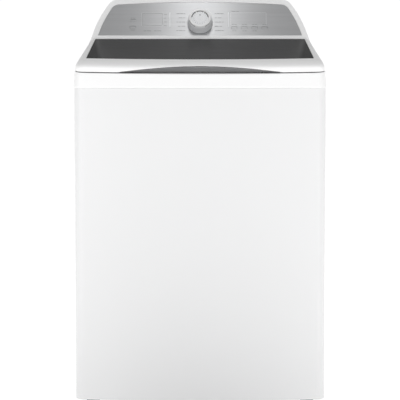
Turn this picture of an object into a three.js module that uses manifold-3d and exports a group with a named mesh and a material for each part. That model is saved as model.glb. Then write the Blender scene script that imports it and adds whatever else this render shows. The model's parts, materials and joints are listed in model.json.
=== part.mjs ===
// A top load washing machine as an assembly of named sub-parts.
// Millimetres, +Z up, the front faces -Y. The origin is on the floor under the middle of the machine.
import * as THREE from "three";
import { mergeVertices } from "three/addons/utils/BufferGeometryUtils.js";
import Module from "manifold-3d";

const wasm = await Module();
wasm.setup();

// ---------------------------------------------------------------- overall sizes
const WIDTH = 711; // across the lip of the top cover
const DEPTH = 686; // from the lip to the ends of the water ports
const FOOT_HEIGHT = 22; // the cabinet's lower edge above the floor
const CABINET_TOP = 903; // the seam between the cabinet and its top cover
const PORT_REACH = 16; // how far the rear fittings stand out

// ---------------------------------------------------------------- walls and clearances
const GAP = 0.3; // between two pieces that touch
const SHEET = 2; // cabinet sheet
const MOULD = 3; // moulded plastic walls
const LIP = 2; // how far the top cover stands out past the cabinet
const OVERCUT = 5; // how far a cutting shape runs past what it cuts

// ---------------------------------------------------------------- cabinet and top cover
const FRONT_BOW = 24; // how far the front's middle stands out past its ends
const CORNER_RADIUS = 30; // upright front edges
const CORNER_STEPS = 5;
const FRONT_STEPS = 8;
const REAR_FLANGE = 26;
const BAND_HEIGHT = 39.5; // the top cover's front band, from the seam to its deck
const LIP_HEIGHT = 6; // the upright lip at the foot of the band
const DRAFT = 0.09; // how much the top cover and the lid lean in, per unit of height
const COVER_ROOF = 130; // height that covers the tallest part of the top cover
const DECK_SLOPE = THREE.MathUtils.degToRad(8.05);
const OPENING_SIDE = 80; // deck left at each side of the opening, inside the basket's rim
const OPENING_FRONT = 72; // from the front of the machine to the opening
const OPENING_REAR = 22; // from the opening to the lid's rear edge
const OPENING_RADIUS = 85;
const NECK_DROP = 20; // how far the opening's neck hangs below the seam
const BASE_HEIGHT = 28;
const BASE_RAIL = 34;
const FOOT_INSET = 50;
const FOOT_RADIUS = 20;
const FOOT_PAD = 10;
const FOOT_STEM_RADIUS = 6;
const FOOT_STEM_TOP = 40; // above the cabinet's lower edge
const FOOT_EDGE = 2; // the pad's bevel
const WIRE_OPENING = { width: 77, front: 27, rear: 36 }; // in the shelf, for the console's wiring
const ROUND = 16; // sides of a small round piece
const WIDE_ROUND = 32; // sides of a large round piece

// ---------------------------------------------------------------- lid
const LID_GAP = 3; // between the deck and the closed lid
const LID_LENGTH = 462; // along the slope
const LID_THICKNESS = 29;
const LID_SIDE_BORDER = 30; // lid edge to glass, at the sides
const LID_FRONT_BORDER = 57;
const LID_REAR_BORDER = 15;
const LID_CORNER = 26;
const LID_TAPER = 16; // how much narrower each side of the lid is at its rear
const LID_SET_BACK = 3; // the lid's front behind the front of the cover
const LID_PROFILE = [
  { share: 0, side: 0, front: 1, rear: 2 },
  { share: 0.4, side: 1.5, front: 1.5, rear: 1 },
  { share: 0.62, side: 4, front: 6, rear: 0.5 },
  { share: 0.8, side: 7, front: 17, rear: 1 },
  { share: 0.93, side: 12, front: 34, rear: 3 },
  { share: 1, side: 20, front: LID_FRONT_BORDER, rear: 8 },
]; // insets of the lid's edge at shares of its height
const GLASS_CORNER = 6;
const GLASS_THICKNESS = 4;
const GLASS_TAPER = 7; // how much narrower each side of the glass is at its rear
const RECESS_HALF_WIDTH = 230;
const RECESS_HEIGHT = 17;
const RECESS_DEPTH = 24;
const RECESS_STEPS = 12;
const GRIP_THICKNESS = 3;
const HINGE_INSET = 95; // from the lid's side to the hinge
const HINGE_BACK = 7; // hinge axis to the lid's rear edge
const HINGE_RISE = 18; // hinge axis above the deck
const HINGE_WIDTH = 12;
const HINGE_EYE_RADIUS = 7;
const HINGE_POCKET = 22;
const HINGE_CLEARANCE = 2; // bracket to pocket, each side
const PIN_RADIUS = 4;
const PIN_CLEARANCE = 0.4;
const STRIKE = { x: 170, distance: 38, width: 6, length: 14, drop: 26 }; // distance from the machine's front
const STRIKE_PLATE = { width: 20, length: 22, thickness: 1.5 };
const STRIKE_WINDOW = { width: 10, margin: 1, rise: 5 };
const STRIKE_SLOT = { width: 12, length: 28 };
const LOCK = { left: 16, right: 46, length: 34, height: 34, floor: 3 }; // about the strike
const BOLT = { side: 6, length: 24, start: 7, clearance: 0.5 };

// ---------------------------------------------------------------- console
const CONSOLE_GAP = 9; // lid edge to console, which lets the lid's rear edge swing
const CONSOLE_RISE = 6.5; // fascia's lower edge above the lid's rear edge
const CONSOLE_LIP = 9; // height of the white lip under the fascia
const CONSOLE_HEIGHT = 117.5; // fascia's lower edge to the console's highest point
const CONSOLE_TILT = THREE.MathUtils.degToRad(33.5); // fascia, back from upright
const CONSOLE_FALL = 12; // how much lower the console's top is at the rear
const CONSOLE_BASE_INSET = 12;
const CONSOLE_WAIST_INSET = 27;
const CONSOLE_SHOULDER_INSET = 76;
const CONSOLE_TOP_INSET = 104;
const CONSOLE_CURVE = { waist: 4, bend: 16, bendRise: 52, shoulder: 22, corner: 9, crown: 14, arch: 8 };
const CONSOLE_STEPS = 6;
const FASCIA_THICKNESS = 2.5;
const FASCIA_SET_BACK = 0.8;
const FASCIA_LEDGE = 7; // width of the ledge that the fascia rests on
const FASCIA_LENGTH = 121.5; // along the slope, at its middle
const FASCIA_SHOULDER_LENGTH = 102;
const FASCIA_FOOT_INSET = 46; // side of the machine to the fascia, at its foot
const FASCIA_SHOULDER_INSET = 87;
const FASCIA_TOP_INSET = 112;
const FASCIA_CROWN = 8; // how far the fascia's top edge is arched
const FASCIA_BEND = { side: 12, corner: 8 };
const KNOB_RADIUS = 38.5;
const KNOB_MARGIN = 6.2; // from the fascia's foot to the knob
const KNOB_HEIGHT = 31;
const KNOB_FACE = 33;
const KNOB_RING = 6;
const KNOB_SHAFT = 6;
const KNOB_SHAFT_LENGTH = 22;
const KNOB_SHAFT_CLEARANCE = 2;
const KNOB_LIFT = 0.6; // the knob's foot above the fascia
const KNOB_CAP_SINK = 5; // the cap's seat below the ring's top
const KNOB_EDGE = 2;
const SMALL_CORNER_STEPS = 3;
const KEY = { width: 18, height: 8, corner: 3, depth: 9, clearance: 0.35 };
const KEY_SET_BACK = 0.3;
const OPTION_KEYS = { first: 104, pitch: 31, up: 28, count: 4 };
const POWER_KEYS = { x: -205, low: 30, high: 54 };
const DISPLAY = { x: -146, up: 59, width: 62, height: 44, corner: 4, thickness: 1.5 };
const BOARD = { width: 330, height: 62, thickness: 1.6, behind: 32, up: 44 };
const BOARD_PARTS = [
  { x: -99, up: 44, width: 40, height: 26, rise: 6 },
  { x: 50, up: 52, width: 30, height: 30, rise: 4 },
  { x: 124, up: 38, width: 50, height: 34, rise: 9 },
  { x: 0, up: 44, width: 18, height: 18, rise: 7 },
];

// ---------------------------------------------------------------- tub, basket and drive
const TUB_SWING = 35; // room round the tub
const TUB_WALL = 4;
const TUB_DROP = 48; // tub's rim below the seam
const DRIVE_ROOM = 308; // space under the tub
const TUB_CORNER = 24;
const BOSS_RADIUS = 62;
const BOSS_DROP = 46;
const SHAFT_RADIUS = 12;
const HUB_RADIUS = 20;
const RUNNING_CLEARANCE = 0.6;
const RING_WIDTH = 44; // tub ring, inwards
const RING_HEIGHT = 12;
const BASKET_GAP = 28; // basket to tub, at the side
const BASKET_FLOOR = 42; // basket floor above the tub floor
const BASKET_WALL = 2.5;
const BASKET_CORNER = 26;
const BALANCE_HEIGHT = 46;
const BALANCE_WIDTH = 32;
const BASKET_RIM_DROP = 14; // top of the balance ring below the tub's rim
const PLATE_GAP = 16; // wash plate to basket wall
const PLATE_HEIGHT = 14;
const PLATE_DOME = 44;
const PLATE_RISE = 12; // wash plate above the basket's floor
const DOME_PROFILE = [
  { share: 0.4, rise: 0 },
  { share: 0.22, rise: 0.7 },
  { share: 0.1, rise: 1 },
]; // shares of the wash plate's radius and of its dome's height
const VANE = { count: 6, height: 34, width: 16, short: 12 }; // short of the plate's rim
const VANE_PROFILE = [
  { share: 0.93, rise: 0.2 },
  { share: 0.45, rise: 0.6 },
  { share: 0.2, rise: 1.035 },
  { share: 0.12, rise: 1.035 },
]; // shares of the wash plate's radius and of the vane's height
const PULLEY_RADIUS = 105;
const MOTOR_PULLEY_RADIUS = 21;
const PULLEY_HEIGHT = 16;
const PULLEY_DROP = 74; // pulley's middle below the tub floor
const BELT_THICKNESS = 4;
const BELT_WIDTH = 10;
const BELT_CLEARANCE = 1.6; // belt to pulley, over the flats of both
const MOTOR_DISTANCE = 178;
const MOTOR_RADIUS = 58;
const MOTOR_HEIGHT = 52;
const MOTOR_SHAFT = 7;
const MOTOR_EDGE = 8;
const PUMP = { side: 133, front: 133, radius: 36, height: 58 }; // from the middle of the tub
const SPOUT = { length: 34, rise: 18, radius: 12, bore: 9 };
const HUB_FLANGE = { width: 24, thickness: 6 };
const HUB_DROP = 4; // hub's foot below the tub's boss
const SUSPENSION_INSET = 76; // cabinet corner to rod, both ways
const BRACKET_DROP = 30; // suspension bracket below the seam
const BRACKET_SIZE = 90;
const ROD_RADIUS = 3.5;
const ROD_HOLE_CLEARANCE = 1;
const LUG_BORE_CLEARANCE = 5;
const BALL_RADIUS = 11;
const BALL_PROFILE = [
  [1, 0],
  [0.85, 0.55],
  [0.45, 0.9],
  [0, 1],
]; // shares of the ball's radius, out and up
const LUG_HEIGHT = 26;
const LUG_WIDTH = 40;
const LUG_RISE = 90; // lug above the tub's floor
const SPRING_LENGTH = 92;
const SPRING_RADIUS = 18;
const SPRING_BORE = 11;
const SPRING_CUP = { radius: 22, height: 7, bevel: 3 };

// ---------------------------------------------------------------- rear fittings
const VALVE = { x: 170, width: 92, depth: 30, height: 46, drop: 62, coilRadius: 13, coilDrop: 22 };
const PORT_SPACING = 46;
const PORT = { radius: 13, bore: 9, flange: 18, flangeThickness: 4 };
const DRAIN = { x: -205, drop: 103, radius: 17, bore: 13, flange: 26, flangeThickness: 4 };
const GLAND = { x: -250, z: 120, radius: 9, bore: 4.5, flange: 15, flangeThickness: 3, shorter: 4 };
const DUCT = { width: 56, height: 20, drop: 44, header: 60, riser: 22, stand: 5 };
const CUP = { x: -282, distance: 190, width: 66, length: 120, depth: 23, corner: 18, wall: 2.5 };
const CUP_RIM = { width: 6, rise: 2 }; // round the dispenser cup, on the deck

// ---------------------------------------------------------------- what the sizes give
const SIDE = WIDTH / 2;
const FRONT = -DEPTH / 2;
const REAR = DEPTH / 2 - PORT_REACH;
const DECK_Z = CABINET_TOP + BAND_HEIGHT;
const SHELF_Y = FRONT + (LID_LENGTH + CONSOLE_GAP) * Math.cos(DECK_SLOPE);
const SHELF_Z = DECK_Z + (SHELF_Y - FRONT) * Math.tan(DECK_SLOPE);
const LID_TOP = LID_GAP + LID_THICKNESS;
const HINGE_V = LID_LENGTH - HINGE_BACK;
const FASCIA_Z = SHELF_Z + LID_TOP + CONSOLE_RISE;
const FASCIA_Y = SHELF_Y + CONSOLE_LIP * Math.tan(CONSOLE_TILT);
const CONSOLE_TOP = FASCIA_Z + CONSOLE_HEIGHT;
const KNOB_UP = KNOB_RADIUS + KNOB_MARGIN; // the knob's centre, up the fascia
const MIDDLE_Y = (FRONT + LIP + REAR) / 2;
const INNER_SIDE = SIDE - LIP - SHEET;
const PANEL_Y = REAR - SHEET - GAP; // the rear panel's outer face
const TUB_RADIUS = Math.min(SIDE, (REAR - FRONT) / 2) - TUB_SWING;
const TUB_TOP = CABINET_TOP - TUB_DROP;
const TUB_FLOOR = FOOT_HEIGHT + DRIVE_ROOM;
const BASKET_RADIUS = TUB_RADIUS - TUB_WALL - BASKET_GAP;
const BASKET_Z = TUB_FLOOR + BASKET_FLOOR;
const BASKET_TOP = TUB_TOP - BASKET_RIM_DROP - BALANCE_HEIGHT;
const OPENING_HALF = BASKET_RADIUS - OPENING_SIDE + BALANCE_WIDTH;
const PULLEY_Z = TUB_FLOOR - PULLEY_DROP;
const LUG_Z = TUB_FLOOR + LUG_RISE;
const ROD_X = INNER_SIDE - SUSPENSION_INSET;
const ROD_Y = (REAR - FRONT) / 2 - SUSPENSION_INSET;
const BRACKET_Z = CABINET_TOP - BRACKET_DROP;

// ---------------------------------------------------------------- materials
function material(color, roughness, metalness = 0, more = {}) {
  return new THREE.MeshStandardMaterial({ color, roughness, metalness, flatShading: true, ...more });
}
const WHITE_PAINT = () => material(0xf2f2f2, 0.35);
const WHITE_PLASTIC = () => material(0xf4f4f4, 0.4);
const BRUSHED = () => material(0xb9babc, 0.35, 0.9);
const CHROME = () => material(0xdedede, 0.12, 1);
const SMOKED_GLASS = () => material(0x3c3c3d, 0.08, 0, { transparent: true, opacity: 0.85 });
const GREY_PLASTIC = () => material(0x8d8e90, 0.5);
const DARK_PLASTIC = () => material(0x303032, 0.6);
const BLACK_RUBBER = () => material(0x1b1b1b, 0.85);
const STEEL = () => material(0xa9abae, 0.35, 0.95);
const STAINLESS = () => material(0xc6c8ca, 0.28, 1);
const BRASS = () => material(0xb9975a, 0.35, 0.9);
const CAST = () => material(0x6f7173, 0.6, 0.8);
const BOARD_GREEN = () => material(0x1f5a3a, 0.6);

// ---------------------------------------------------------------- joining and cutting
function solidOf(geometry) {
  const bare = new THREE.BufferGeometry();
  bare.setAttribute("position", geometry.getAttribute("position").clone());
  if (geometry.index) bare.setIndex(geometry.index.clone());
  const merged = mergeVertices(bare, 1e-4);
  const vertProperties = new Float32Array(merged.attributes.position.array);
  const triVerts = new Uint32Array(merged.index.array);
  return new wasm.Manifold(new wasm.Mesh({ numProp: 3, vertProperties, triVerts }));
}

function geometryOf(solid) {
  const mesh = solid.getMesh();
  const positions = new Float32Array(mesh.numVert * 3);
  for (let i = 0; i < mesh.numVert; i++) {
    positions.set(mesh.vertProperties.subarray(i * mesh.numProp, i * mesh.numProp + 3), i * 3);
  }
  const geometry = new THREE.BufferGeometry();
  geometry.setAttribute("position", new THREE.BufferAttribute(positions, 3));
  geometry.setIndex(new THREE.BufferAttribute(new Uint32Array(mesh.triVerts), 1));
  return geometry;
}

const join = (first, ...others) =>
  geometryOf(others.reduce((whole, other) => whole.add(solidOf(other)), solidOf(first)));
const cut = (first, ...others) =>
  geometryOf(others.reduce((whole, other) => whole.subtract(solidOf(other)), solidOf(first)));
const common = (first, ...others) =>
  geometryOf(others.reduce((whole, other) => whole.intersect(solidOf(other)), solidOf(first)));

// ---------------------------------------------------------------- simple shapes
function box(x0, x1, y0, y1, z0, z1) {
  const geometry = new THREE.BoxGeometry(x1 - x0, y1 - y0, z1 - z0);
  return geometry.translate((x0 + x1) / 2, (y0 + y1) / 2, (z0 + z1) / 2);
}

// A flat outline in X and Y, raised from z0 to z1.
function upright(points, z0, z1, steps = CONSOLE_STEPS) {
  const shape = points instanceof THREE.Shape ? points : new THREE.Shape(points);
  const options = { depth: z1 - z0, bevelEnabled: false, curveSegments: steps };
  return new THREE.ExtrudeGeometry(shape, options).translate(0, 0, z0);
}

// A flat outline in Y and Z, run from x0 to x1.
function alongX(points, x0, x1) {
  const turn = new THREE.Matrix4().makeBasis(
    new THREE.Vector3(0, 1, 0),
    new THREE.Vector3(0, 0, 1),
    new THREE.Vector3(1, 0, 0),
  );
  return upright(points, x0, x1).applyMatrix4(turn);
}

// A flat outline in X and Z, run from y0 to y1.
function alongY(points, y0, y1, steps) {
  return upright(points, -y1, -y0, steps).rotateX(Math.PI / 2);
}

function cylinder(x, y, z0, z1, radius, sides = ROUND) {
  const geometry = new THREE.CylinderGeometry(radius, radius, z1 - z0, sides);
  return geometry.rotateX(Math.PI / 2).translate(x, y, (z0 + z1) / 2);
}

function pinAlongX(x0, x1, y, z, radius, sides = ROUND) {
  const geometry = new THREE.CylinderGeometry(radius, radius, x1 - x0, sides);
  return geometry.rotateZ(Math.PI / 2).translate((x0 + x1) / 2, y, z);
}

// A profile of [radius, height] pairs, going up on the outside, turned about the Z axis.
function turned(profile, sides = WIDE_ROUND) {
  const points = profile.map(([radius, height]) => new THREE.Vector2(radius, height));
  return new THREE.LatheGeometry(points, sides).rotateX(Math.PI / 2);
}

// A turned profile that closes on itself, as a ring does.
const turnedRing = (profile, sides) => turned([...profile, profile[0]], sides);

function roundedRect(x, y, width, height, radius) {
  const [x0, x1, y0, y1] = [x - width / 2, x + width / 2, y - height / 2, y + height / 2];
  const shape = new THREE.Shape();
  shape.moveTo(x0 + radius, y0);
  shape.lineTo(x1 - radius, y0);
  shape.absarc(x1 - radius, y0 + radius, radius, -Math.PI / 2, 0);
  shape.lineTo(x1, y1 - radius);
  shape.absarc(x1 - radius, y1 - radius, radius, 0, Math.PI / 2);
  shape.lineTo(x0 + radius, y1);
  shape.absarc(x0 + radius, y1 - radius, radius, Math.PI / 2, Math.PI);
  shape.lineTo(x0, y0 + radius);
  shape.absarc(x0 + radius, y0 + radius, radius, Math.PI, Math.PI * 1.5);
  return shape;
}

// A convex solid through a stack of outlines with the same number of points.
function loft(rings) {
  const count = rings[0].length;
  const positions = rings.flat().flatMap((point) => point.toArray());
  const index = [];
  for (let level = 0; level < rings.length - 1; level++) {
    for (let i = 0; i < count; i++) {
      const a = level * count + i;
      const b = level * count + ((i + 1) % count);
      index.push(a, b, b + count, a, b + count, a + count);
    }
  }
  const top = (rings.length - 1) * count;
  for (let i = 1; i < count - 1; i++) {
    index.push(0, i + 1, i, top, top + i, top + i + 1);
  }
  const geometry = new THREE.BufferGeometry();
  geometry.setAttribute("position", new THREE.Float32BufferAttribute(positions, 3));
  geometry.setIndex(index);
  return geometry;
}

// ---------------------------------------------------------------- outlines of the body
// Anticlockwise from above: square back corners, rounded front corners and a bowed front.
function bodyOutline(half, front, back, corner = CORNER_RADIUS) {
  const flat = half - corner;
  const bowed = (x) => front + FRONT_BOW * (x / SIDE) ** 2;
  const points = [new THREE.Vector2(half, back), new THREE.Vector2(-half, back)];
  const quarter = (side, start) => {
    for (let i = 0; i <= CORNER_STEPS; i++) {
      const angle = start + ((Math.PI / 2) * i) / CORNER_STEPS;
      const x = side * flat + corner * Math.cos(angle);
      points.push(new THREE.Vector2(x, bowed(flat) + corner + corner * Math.sin(angle)));
    }
  };
  quarter(-1, Math.PI);
  for (let i = 1; i < FRONT_STEPS; i++) {
    const x = -flat + (2 * flat * i) / FRONT_STEPS;
    points.push(new THREE.Vector2(x, bowed(x)));
  }
  quarter(1, Math.PI * 1.5);
  return points;
}

const atHeight = (outline, z) => outline.map(({ x, y }) => new THREE.Vector3(x, y, z));

// The leaning outside of the top cover, moved in by an inset.
function coverBody(inset, z0) {
  const levels = [z0, CABINET_TOP + LIP_HEIGHT, CABINET_TOP + COVER_ROOF];
  return loft(
    levels.map((z) => {
      const lean = inset + Math.max(0, z - CABINET_TOP - LIP_HEIGHT) * DRAFT;
      return atHeight(bodyOutline(SIDE - lean, FRONT + lean, REAR - inset), z);
    }),
  );
}

// Everything under the deck, which rises to the shelf that carries the console.
function underDeck(drop, z0) {
  const slope = Math.tan(DECK_SLOPE);
  return alongX(
    [
      new THREE.Vector2(FRONT - OVERCUT, z0),
      new THREE.Vector2(REAR + OVERCUT, z0),
      new THREE.Vector2(REAR + OVERCUT, SHELF_Z - drop),
      new THREE.Vector2(SHELF_Y, SHELF_Z - drop),
      new THREE.Vector2(FRONT - OVERCUT, DECK_Z - drop - OVERCUT * slope),
    ],
    -WIDTH,
    WIDTH,
  );
}

// ---------------------------------------------------------------- cabinet
function cabinetShell() {
  const outside = bodyOutline(SIDE - LIP, FRONT + LIP, REAR);
  const inside = bodyOutline(INNER_SIDE, FRONT + LIP + SHEET, REAR - SHEET, CORNER_RADIUS - SHEET);
  const outer = upright(outside, FOOT_HEIGHT, CABINET_TOP);
  const inner = upright(inside, FOOT_HEIGHT - OVERCUT, CABINET_TOP + OVERCUT);
  const flange = SIDE - LIP - REAR_FLANGE;
  const [low, high] = [FOOT_HEIGHT - OVERCUT, CABINET_TOP + OVERCUT];
  const back = box(-flange, flange, REAR - SHEET - OVERCUT, REAR + OVERCUT, low, high);
  const plates = corners().map(([x, y]) => {
    const [sideX, sideY] = [Math.sign(x), Math.sign(y - MIDDLE_Y)];
    const farX = sideX * (INNER_SIDE + SHEET / 2);
    const farY = sideY > 0 ? PANEL_Y - SHEET - GAP : FRONT;
    const [nearX, nearY] = [farX - sideX * BRACKET_SIZE, farY - sideY * BRACKET_SIZE];
    const xs = [Math.min(nearX, farX), Math.max(nearX, farX)];
    const ys = [Math.min(nearY, farY), Math.max(nearY, farY)];
    const plate = box(...xs, ...ys, BRACKET_Z, BRACKET_Z + SHEET);
    return common(plate, outer);
  });
  const holes = corners().map(([x, y]) =>
    cylinder(x, y, BRACKET_Z - OVERCUT, BRACKET_Z + OVERCUT, ROD_RADIUS + ROD_HOLE_CLEARANCE),
  );
  return cut(join(cut(outer, inner, back), ...plates), ...holes);
}

function corners() {
  return [
    [-ROD_X, MIDDLE_Y - ROD_Y],
    [ROD_X, MIDDLE_Y - ROD_Y],
    [-ROD_X, MIDDLE_Y + ROD_Y],
    [ROD_X, MIDDLE_Y + ROD_Y],
  ];
}

const tubeAlongY = (x, z, y0, y1, radius) =>
  cylinder(x, -z, y0, y1, radius).rotateX(-Math.PI / 2);

function rearPanel() {
  const half = INNER_SIDE - GAP;
  const sheet = box(-half, half, PANEL_Y - SHEET, PANEL_Y, FOOT_HEIGHT + GAP, CABINET_TOP - GAP);
  const holeAt = (x, z, radius) =>
    tubeAlongY(x, z, PANEL_Y - SHEET - OVERCUT, PANEL_Y + OVERCUT, radius + GAP);
  return cut(
    sheet,
    ...portXs().map((x) => holeAt(x, portZ(), PORT.radius)),
    holeAt(DRAIN.x, drainZ(), DRAIN.radius),
    holeAt(GLAND.x, GLAND.z, GLAND.radius),
  );
}

function baseFrame() {
  const inset = (by, z0, z1) =>
    upright(
      bodyOutline(
        INNER_SIDE - GAP - by,
        FRONT + LIP + SHEET + GAP + by,
        PANEL_Y - SHEET - GAP - by,
        CORNER_RADIUS - SHEET - GAP,
      ),
      z0,
      z1,
    );
  const top = FOOT_HEIGHT + BASE_HEIGHT;
  const ring = cut(inset(0, FOOT_HEIGHT, top), inset(BASE_RAIL, 0, top + OVERCUT));
  const pads = footPlaces().map(([x, y]) =>
    common(cylinder(x, y, FOOT_HEIGHT, top, FOOT_INSET), inset(0, FOOT_HEIGHT, top)),
  );
  const threads = footPlaces().map(([x, y]) =>
    cylinder(x, y, 0, top + OVERCUT, FOOT_STEM_RADIUS + PIN_CLEARANCE),
  );
  return cut(join(ring, ...pads), ...threads);
}

function footPlaces() {
  const x = SIDE - FOOT_INSET;
  const [front, back] = [FRONT + FRONT_BOW + FOOT_INSET, REAR - FOOT_INSET];
  return [
    [-x, front],
    [x, front],
    [-x, back],
    [x, back],
  ];
}

function foot(x, y) {
  const edge = FOOT_RADIUS - FOOT_EDGE;
  const top = FOOT_HEIGHT + FOOT_STEM_TOP;
  const profile = [
    [0, 0],
    [edge, 0],
    [FOOT_RADIUS, FOOT_EDGE],
    [FOOT_RADIUS, FOOT_PAD - FOOT_EDGE],
    [edge, FOOT_PAD],
    [FOOT_STEM_RADIUS, FOOT_PAD],
    [FOOT_STEM_RADIUS, top],
    [0, top],
  ];
  return turned(profile, ROUND).translate(x, y, 0);
}

// ---------------------------------------------------------------- top cover
function openingOutline(grow) {
  const front = FRONT + OPENING_FRONT;
  const back = openingRear();
  const width = 2 * (OPENING_HALF + grow);
  const length = back - front + 2 * grow;
  return roundedRect(0, (front + back) / 2, width, length, OPENING_RADIUS + grow);
}

function topCover() {
  const seam = CABINET_TOP + GAP;
  const neckFoot = CABINET_TOP - NECK_DROP;
  const outer = common(coverBody(0, seam), underDeck(0, 0));
  const inner = common(coverBody(MOULD, seam - OVERCUT), underDeck(MOULD, 0));
  const neck = common(upright(openingOutline(MOULD), neckFoot, SHELF_Z), underDeck(MOULD / 2, 0));
  const roof = SHELF_Z + OVERCUT;
  const [slotX, slotY] = [STRIKE_SLOT.width / 2, STRIKE_SLOT.length / 2];
  const slot = box(STRIKE.x - slotX, STRIKE.x + slotX, strikeY() - slotY, strikeY() + slotY, CABINET_TOP, roof);
  const wires = WIRE_OPENING.width / 2;
  const [wiresFront, wiresRear] = [SHELF_Y + WIRE_OPENING.front, REAR - WIRE_OPENING.rear];
  const half = DUCT.width / 2 + GAP;
  const [mouthLow, mouthHigh] = [ductZ() - DUCT.height - GAP, ductZ() + GAP];
  return cut(
    join(cut(outer, inner), neck),
    upright(openingOutline(0), neckFoot - OVERCUT, roof),
    slot,
    upright(cupOutline(GAP), CABINET_TOP, roof),
    box(-half, half, ductMouth() - OVERCUT * 2, ductMouth(), mouthLow, mouthHigh),
    box(-wires, wires, wiresFront, wiresRear, SHELF_Z - OVERCUT, roof),
  );
}

// The strike's place behind the front of the machine, moved back with the bowed front.
const strikeV = () => STRIKE.distance + FRONT_BOW * (STRIKE.x / SIDE) ** 2;
const strikeY = () => FRONT + strikeV();

// ---------------------------------------------------------------- dispenser cup in the deck
const cupOutline = (grow) =>
  roundedRect(
    CUP.x,
    FRONT + CUP.distance,
    CUP.width + 2 * grow,
    CUP.length + 2 * grow,
    CUP.corner + grow,
  );

function dispenserCup() {
  const ring = common(upright(cupOutline(CUP_RIM.width), DECK_Z, SHELF_Z), underDeck(-CUP_RIM.rise, 0));
  const rim = cut(ring, underDeck(-GAP, 0));
  const foot = CABINET_TOP + GAP - CUP.depth;
  const body = common(upright(cupOutline(0), foot, SHELF_Z), underDeck(-CUP_RIM.rise / 2, 0));
  return cut(join(rim, body), upright(cupOutline(-CUP.wall), foot + CUP.wall, SHELF_Z + OVERCUT));
}

// ---------------------------------------------------------------- lid, in a frame that lies on the sloping deck
// v runs back along the slope from the front of the machine and w is the height above the deck.
const tapered = (outline, half, taper) =>
  outline.map(({ x, y }) => new THREE.Vector2(x * (1 - (taper * y) / LID_LENGTH / half), y));

function lidOutline(sideInset, frontInset, rearInset) {
  const half = SIDE - DRAFT * (BAND_HEIGHT - LIP_HEIGHT) - sideInset;
  return tapered(bodyOutline(half, frontInset, LID_LENGTH - rearInset, LID_CORNER), half, LID_TAPER);
}

function lidBody(inset) {
  const rise = LID_THICKNESS - inset;
  const ring = ({ share, side, front, rear }) => {
    const outline = lidOutline(side + inset, front + LID_SET_BACK + inset, rear + inset);
    return atHeight(outline, LID_GAP + share * rise);
  };
  return loft(LID_PROFILE.map(ring));
}

function glassOutline(grow) {
  const half = SIDE - DRAFT * (BAND_HEIGHT - LIP_HEIGHT) - LID_SIDE_BORDER + grow;
  const [front, rear] = [LID_FRONT_BORDER + LID_SET_BACK - grow, LID_LENGTH - LID_REAR_BORDER + grow];
  return tapered(bodyOutline(half, front, rear, GLASS_CORNER), half, GLASS_TAPER);
}

// The lens-shaped scoop under the lid's front edge, with a rounded top that follows an arc.
function scoop(depth, grow) {
  const shape = new THREE.Shape();
  const half = RECESS_HALF_WIDTH + grow;
  const height = RECESS_HEIGHT + grow;
  shape.moveTo(-half, 0);
  for (let i = 1; i < RECESS_STEPS; i++) {
    const x = -half + (2 * half * i) / RECESS_STEPS;
    shape.lineTo(x, LID_GAP + height * (1 - (x / half) ** 2));
  }
  shape.lineTo(half, 0);
  return alongY(shape, -OVERCUT, depth);
}

const lidFoot = LID_PROFILE[0];

function lidFrame() {
  const ceiling = LID_TOP - GLASS_THICKNESS - MOULD;
  const hollow = common(lidBody(MOULD), box(-SIDE, SIDE, 0, LID_LENGTH, 0, ceiling));
  const foot = lidOutline(MOULD, MOULD + LID_SET_BACK + lidFoot.front, MOULD + lidFoot.rear);
  const openFoot = upright(foot, 0, LID_GAP + MOULD + GAP);
  const window = upright(glassOutline(GAP), LID_TOP - GLASS_THICKNESS - GAP, LID_TOP + OVERCUT);
  const view = upright(glassOutline(-FASCIA_LEDGE), LID_GAP, LID_TOP);
  const body = lidBody(0);
  const scooped = join(cut(body, hollow, openFoot), gripWall(body));
  return cut(scooped, scoop(RECESS_DEPTH, 0), window, view, ...hingePlaces().map(hingePocket));
}

// Solid material behind the scoop, so that the cut leaves a closed face.
function gripWall(body) {
  return common(scoop(RECESS_DEPTH + MOULD, MOULD), body);
}

function lidGlass() {
  return upright(glassOutline(0), LID_TOP - GLASS_THICKNESS, LID_TOP - GAP / 2);
}

function lidLiner() {
  const front = RECESS_DEPTH + MOULD + GAP + LID_SET_BACK + lidFoot.front;
  const outline = lidOutline(MOULD + GAP, front, HINGE_POCKET + GAP * 2);
  const view = upright(glassOutline(-LID_SIDE_BORDER), 0, LID_TOP);
  return cut(upright(outline, LID_GAP, LID_GAP + MOULD), view);
}

function handleInsert() {
  const block = scoop(RECESS_DEPTH - GAP, -GAP);
  const hollow = scoop(RECESS_DEPTH - GAP - GRIP_THICKNESS, -GAP - GRIP_THICKNESS);
  const front = box(-SIDE, SIDE, -OVERCUT * 2, RECESS_DEPTH / 2, -OVERCUT, LID_TOP);
  return cut(block, hollow, front, box(-SIDE, SIDE, -OVERCUT, RECESS_DEPTH, -OVERCUT, LID_GAP));
}

// A box about the strike's place, in the frame of the deck.
const strikeBox = (width, length, z0, z1) =>
  box(STRIKE.x - width / 2, STRIKE.x + width / 2, strikeV() - length / 2, strikeV() + length / 2, z0, z1);

function lidStrike() {
  const top = LID_GAP - GAP;
  const foot = top - STRIKE.drop;
  const blade = strikeBox(STRIKE.width, STRIKE.length, foot, top);
  const plate = strikeBox(STRIKE_PLATE.width, STRIKE_PLATE.length, top - STRIKE_PLATE.thickness, top);
  const { width, margin, rise } = STRIKE_WINDOW;
  const head = foot + rise + BOLT.side + 2 * margin;
  return cut(join(blade, plate), strikeBox(width, BOLT.side + 2 * margin, foot + rise, head));
}

const hingePlaces = () => [-(SIDE - HINGE_INSET), SIDE - HINGE_INSET];

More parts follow.
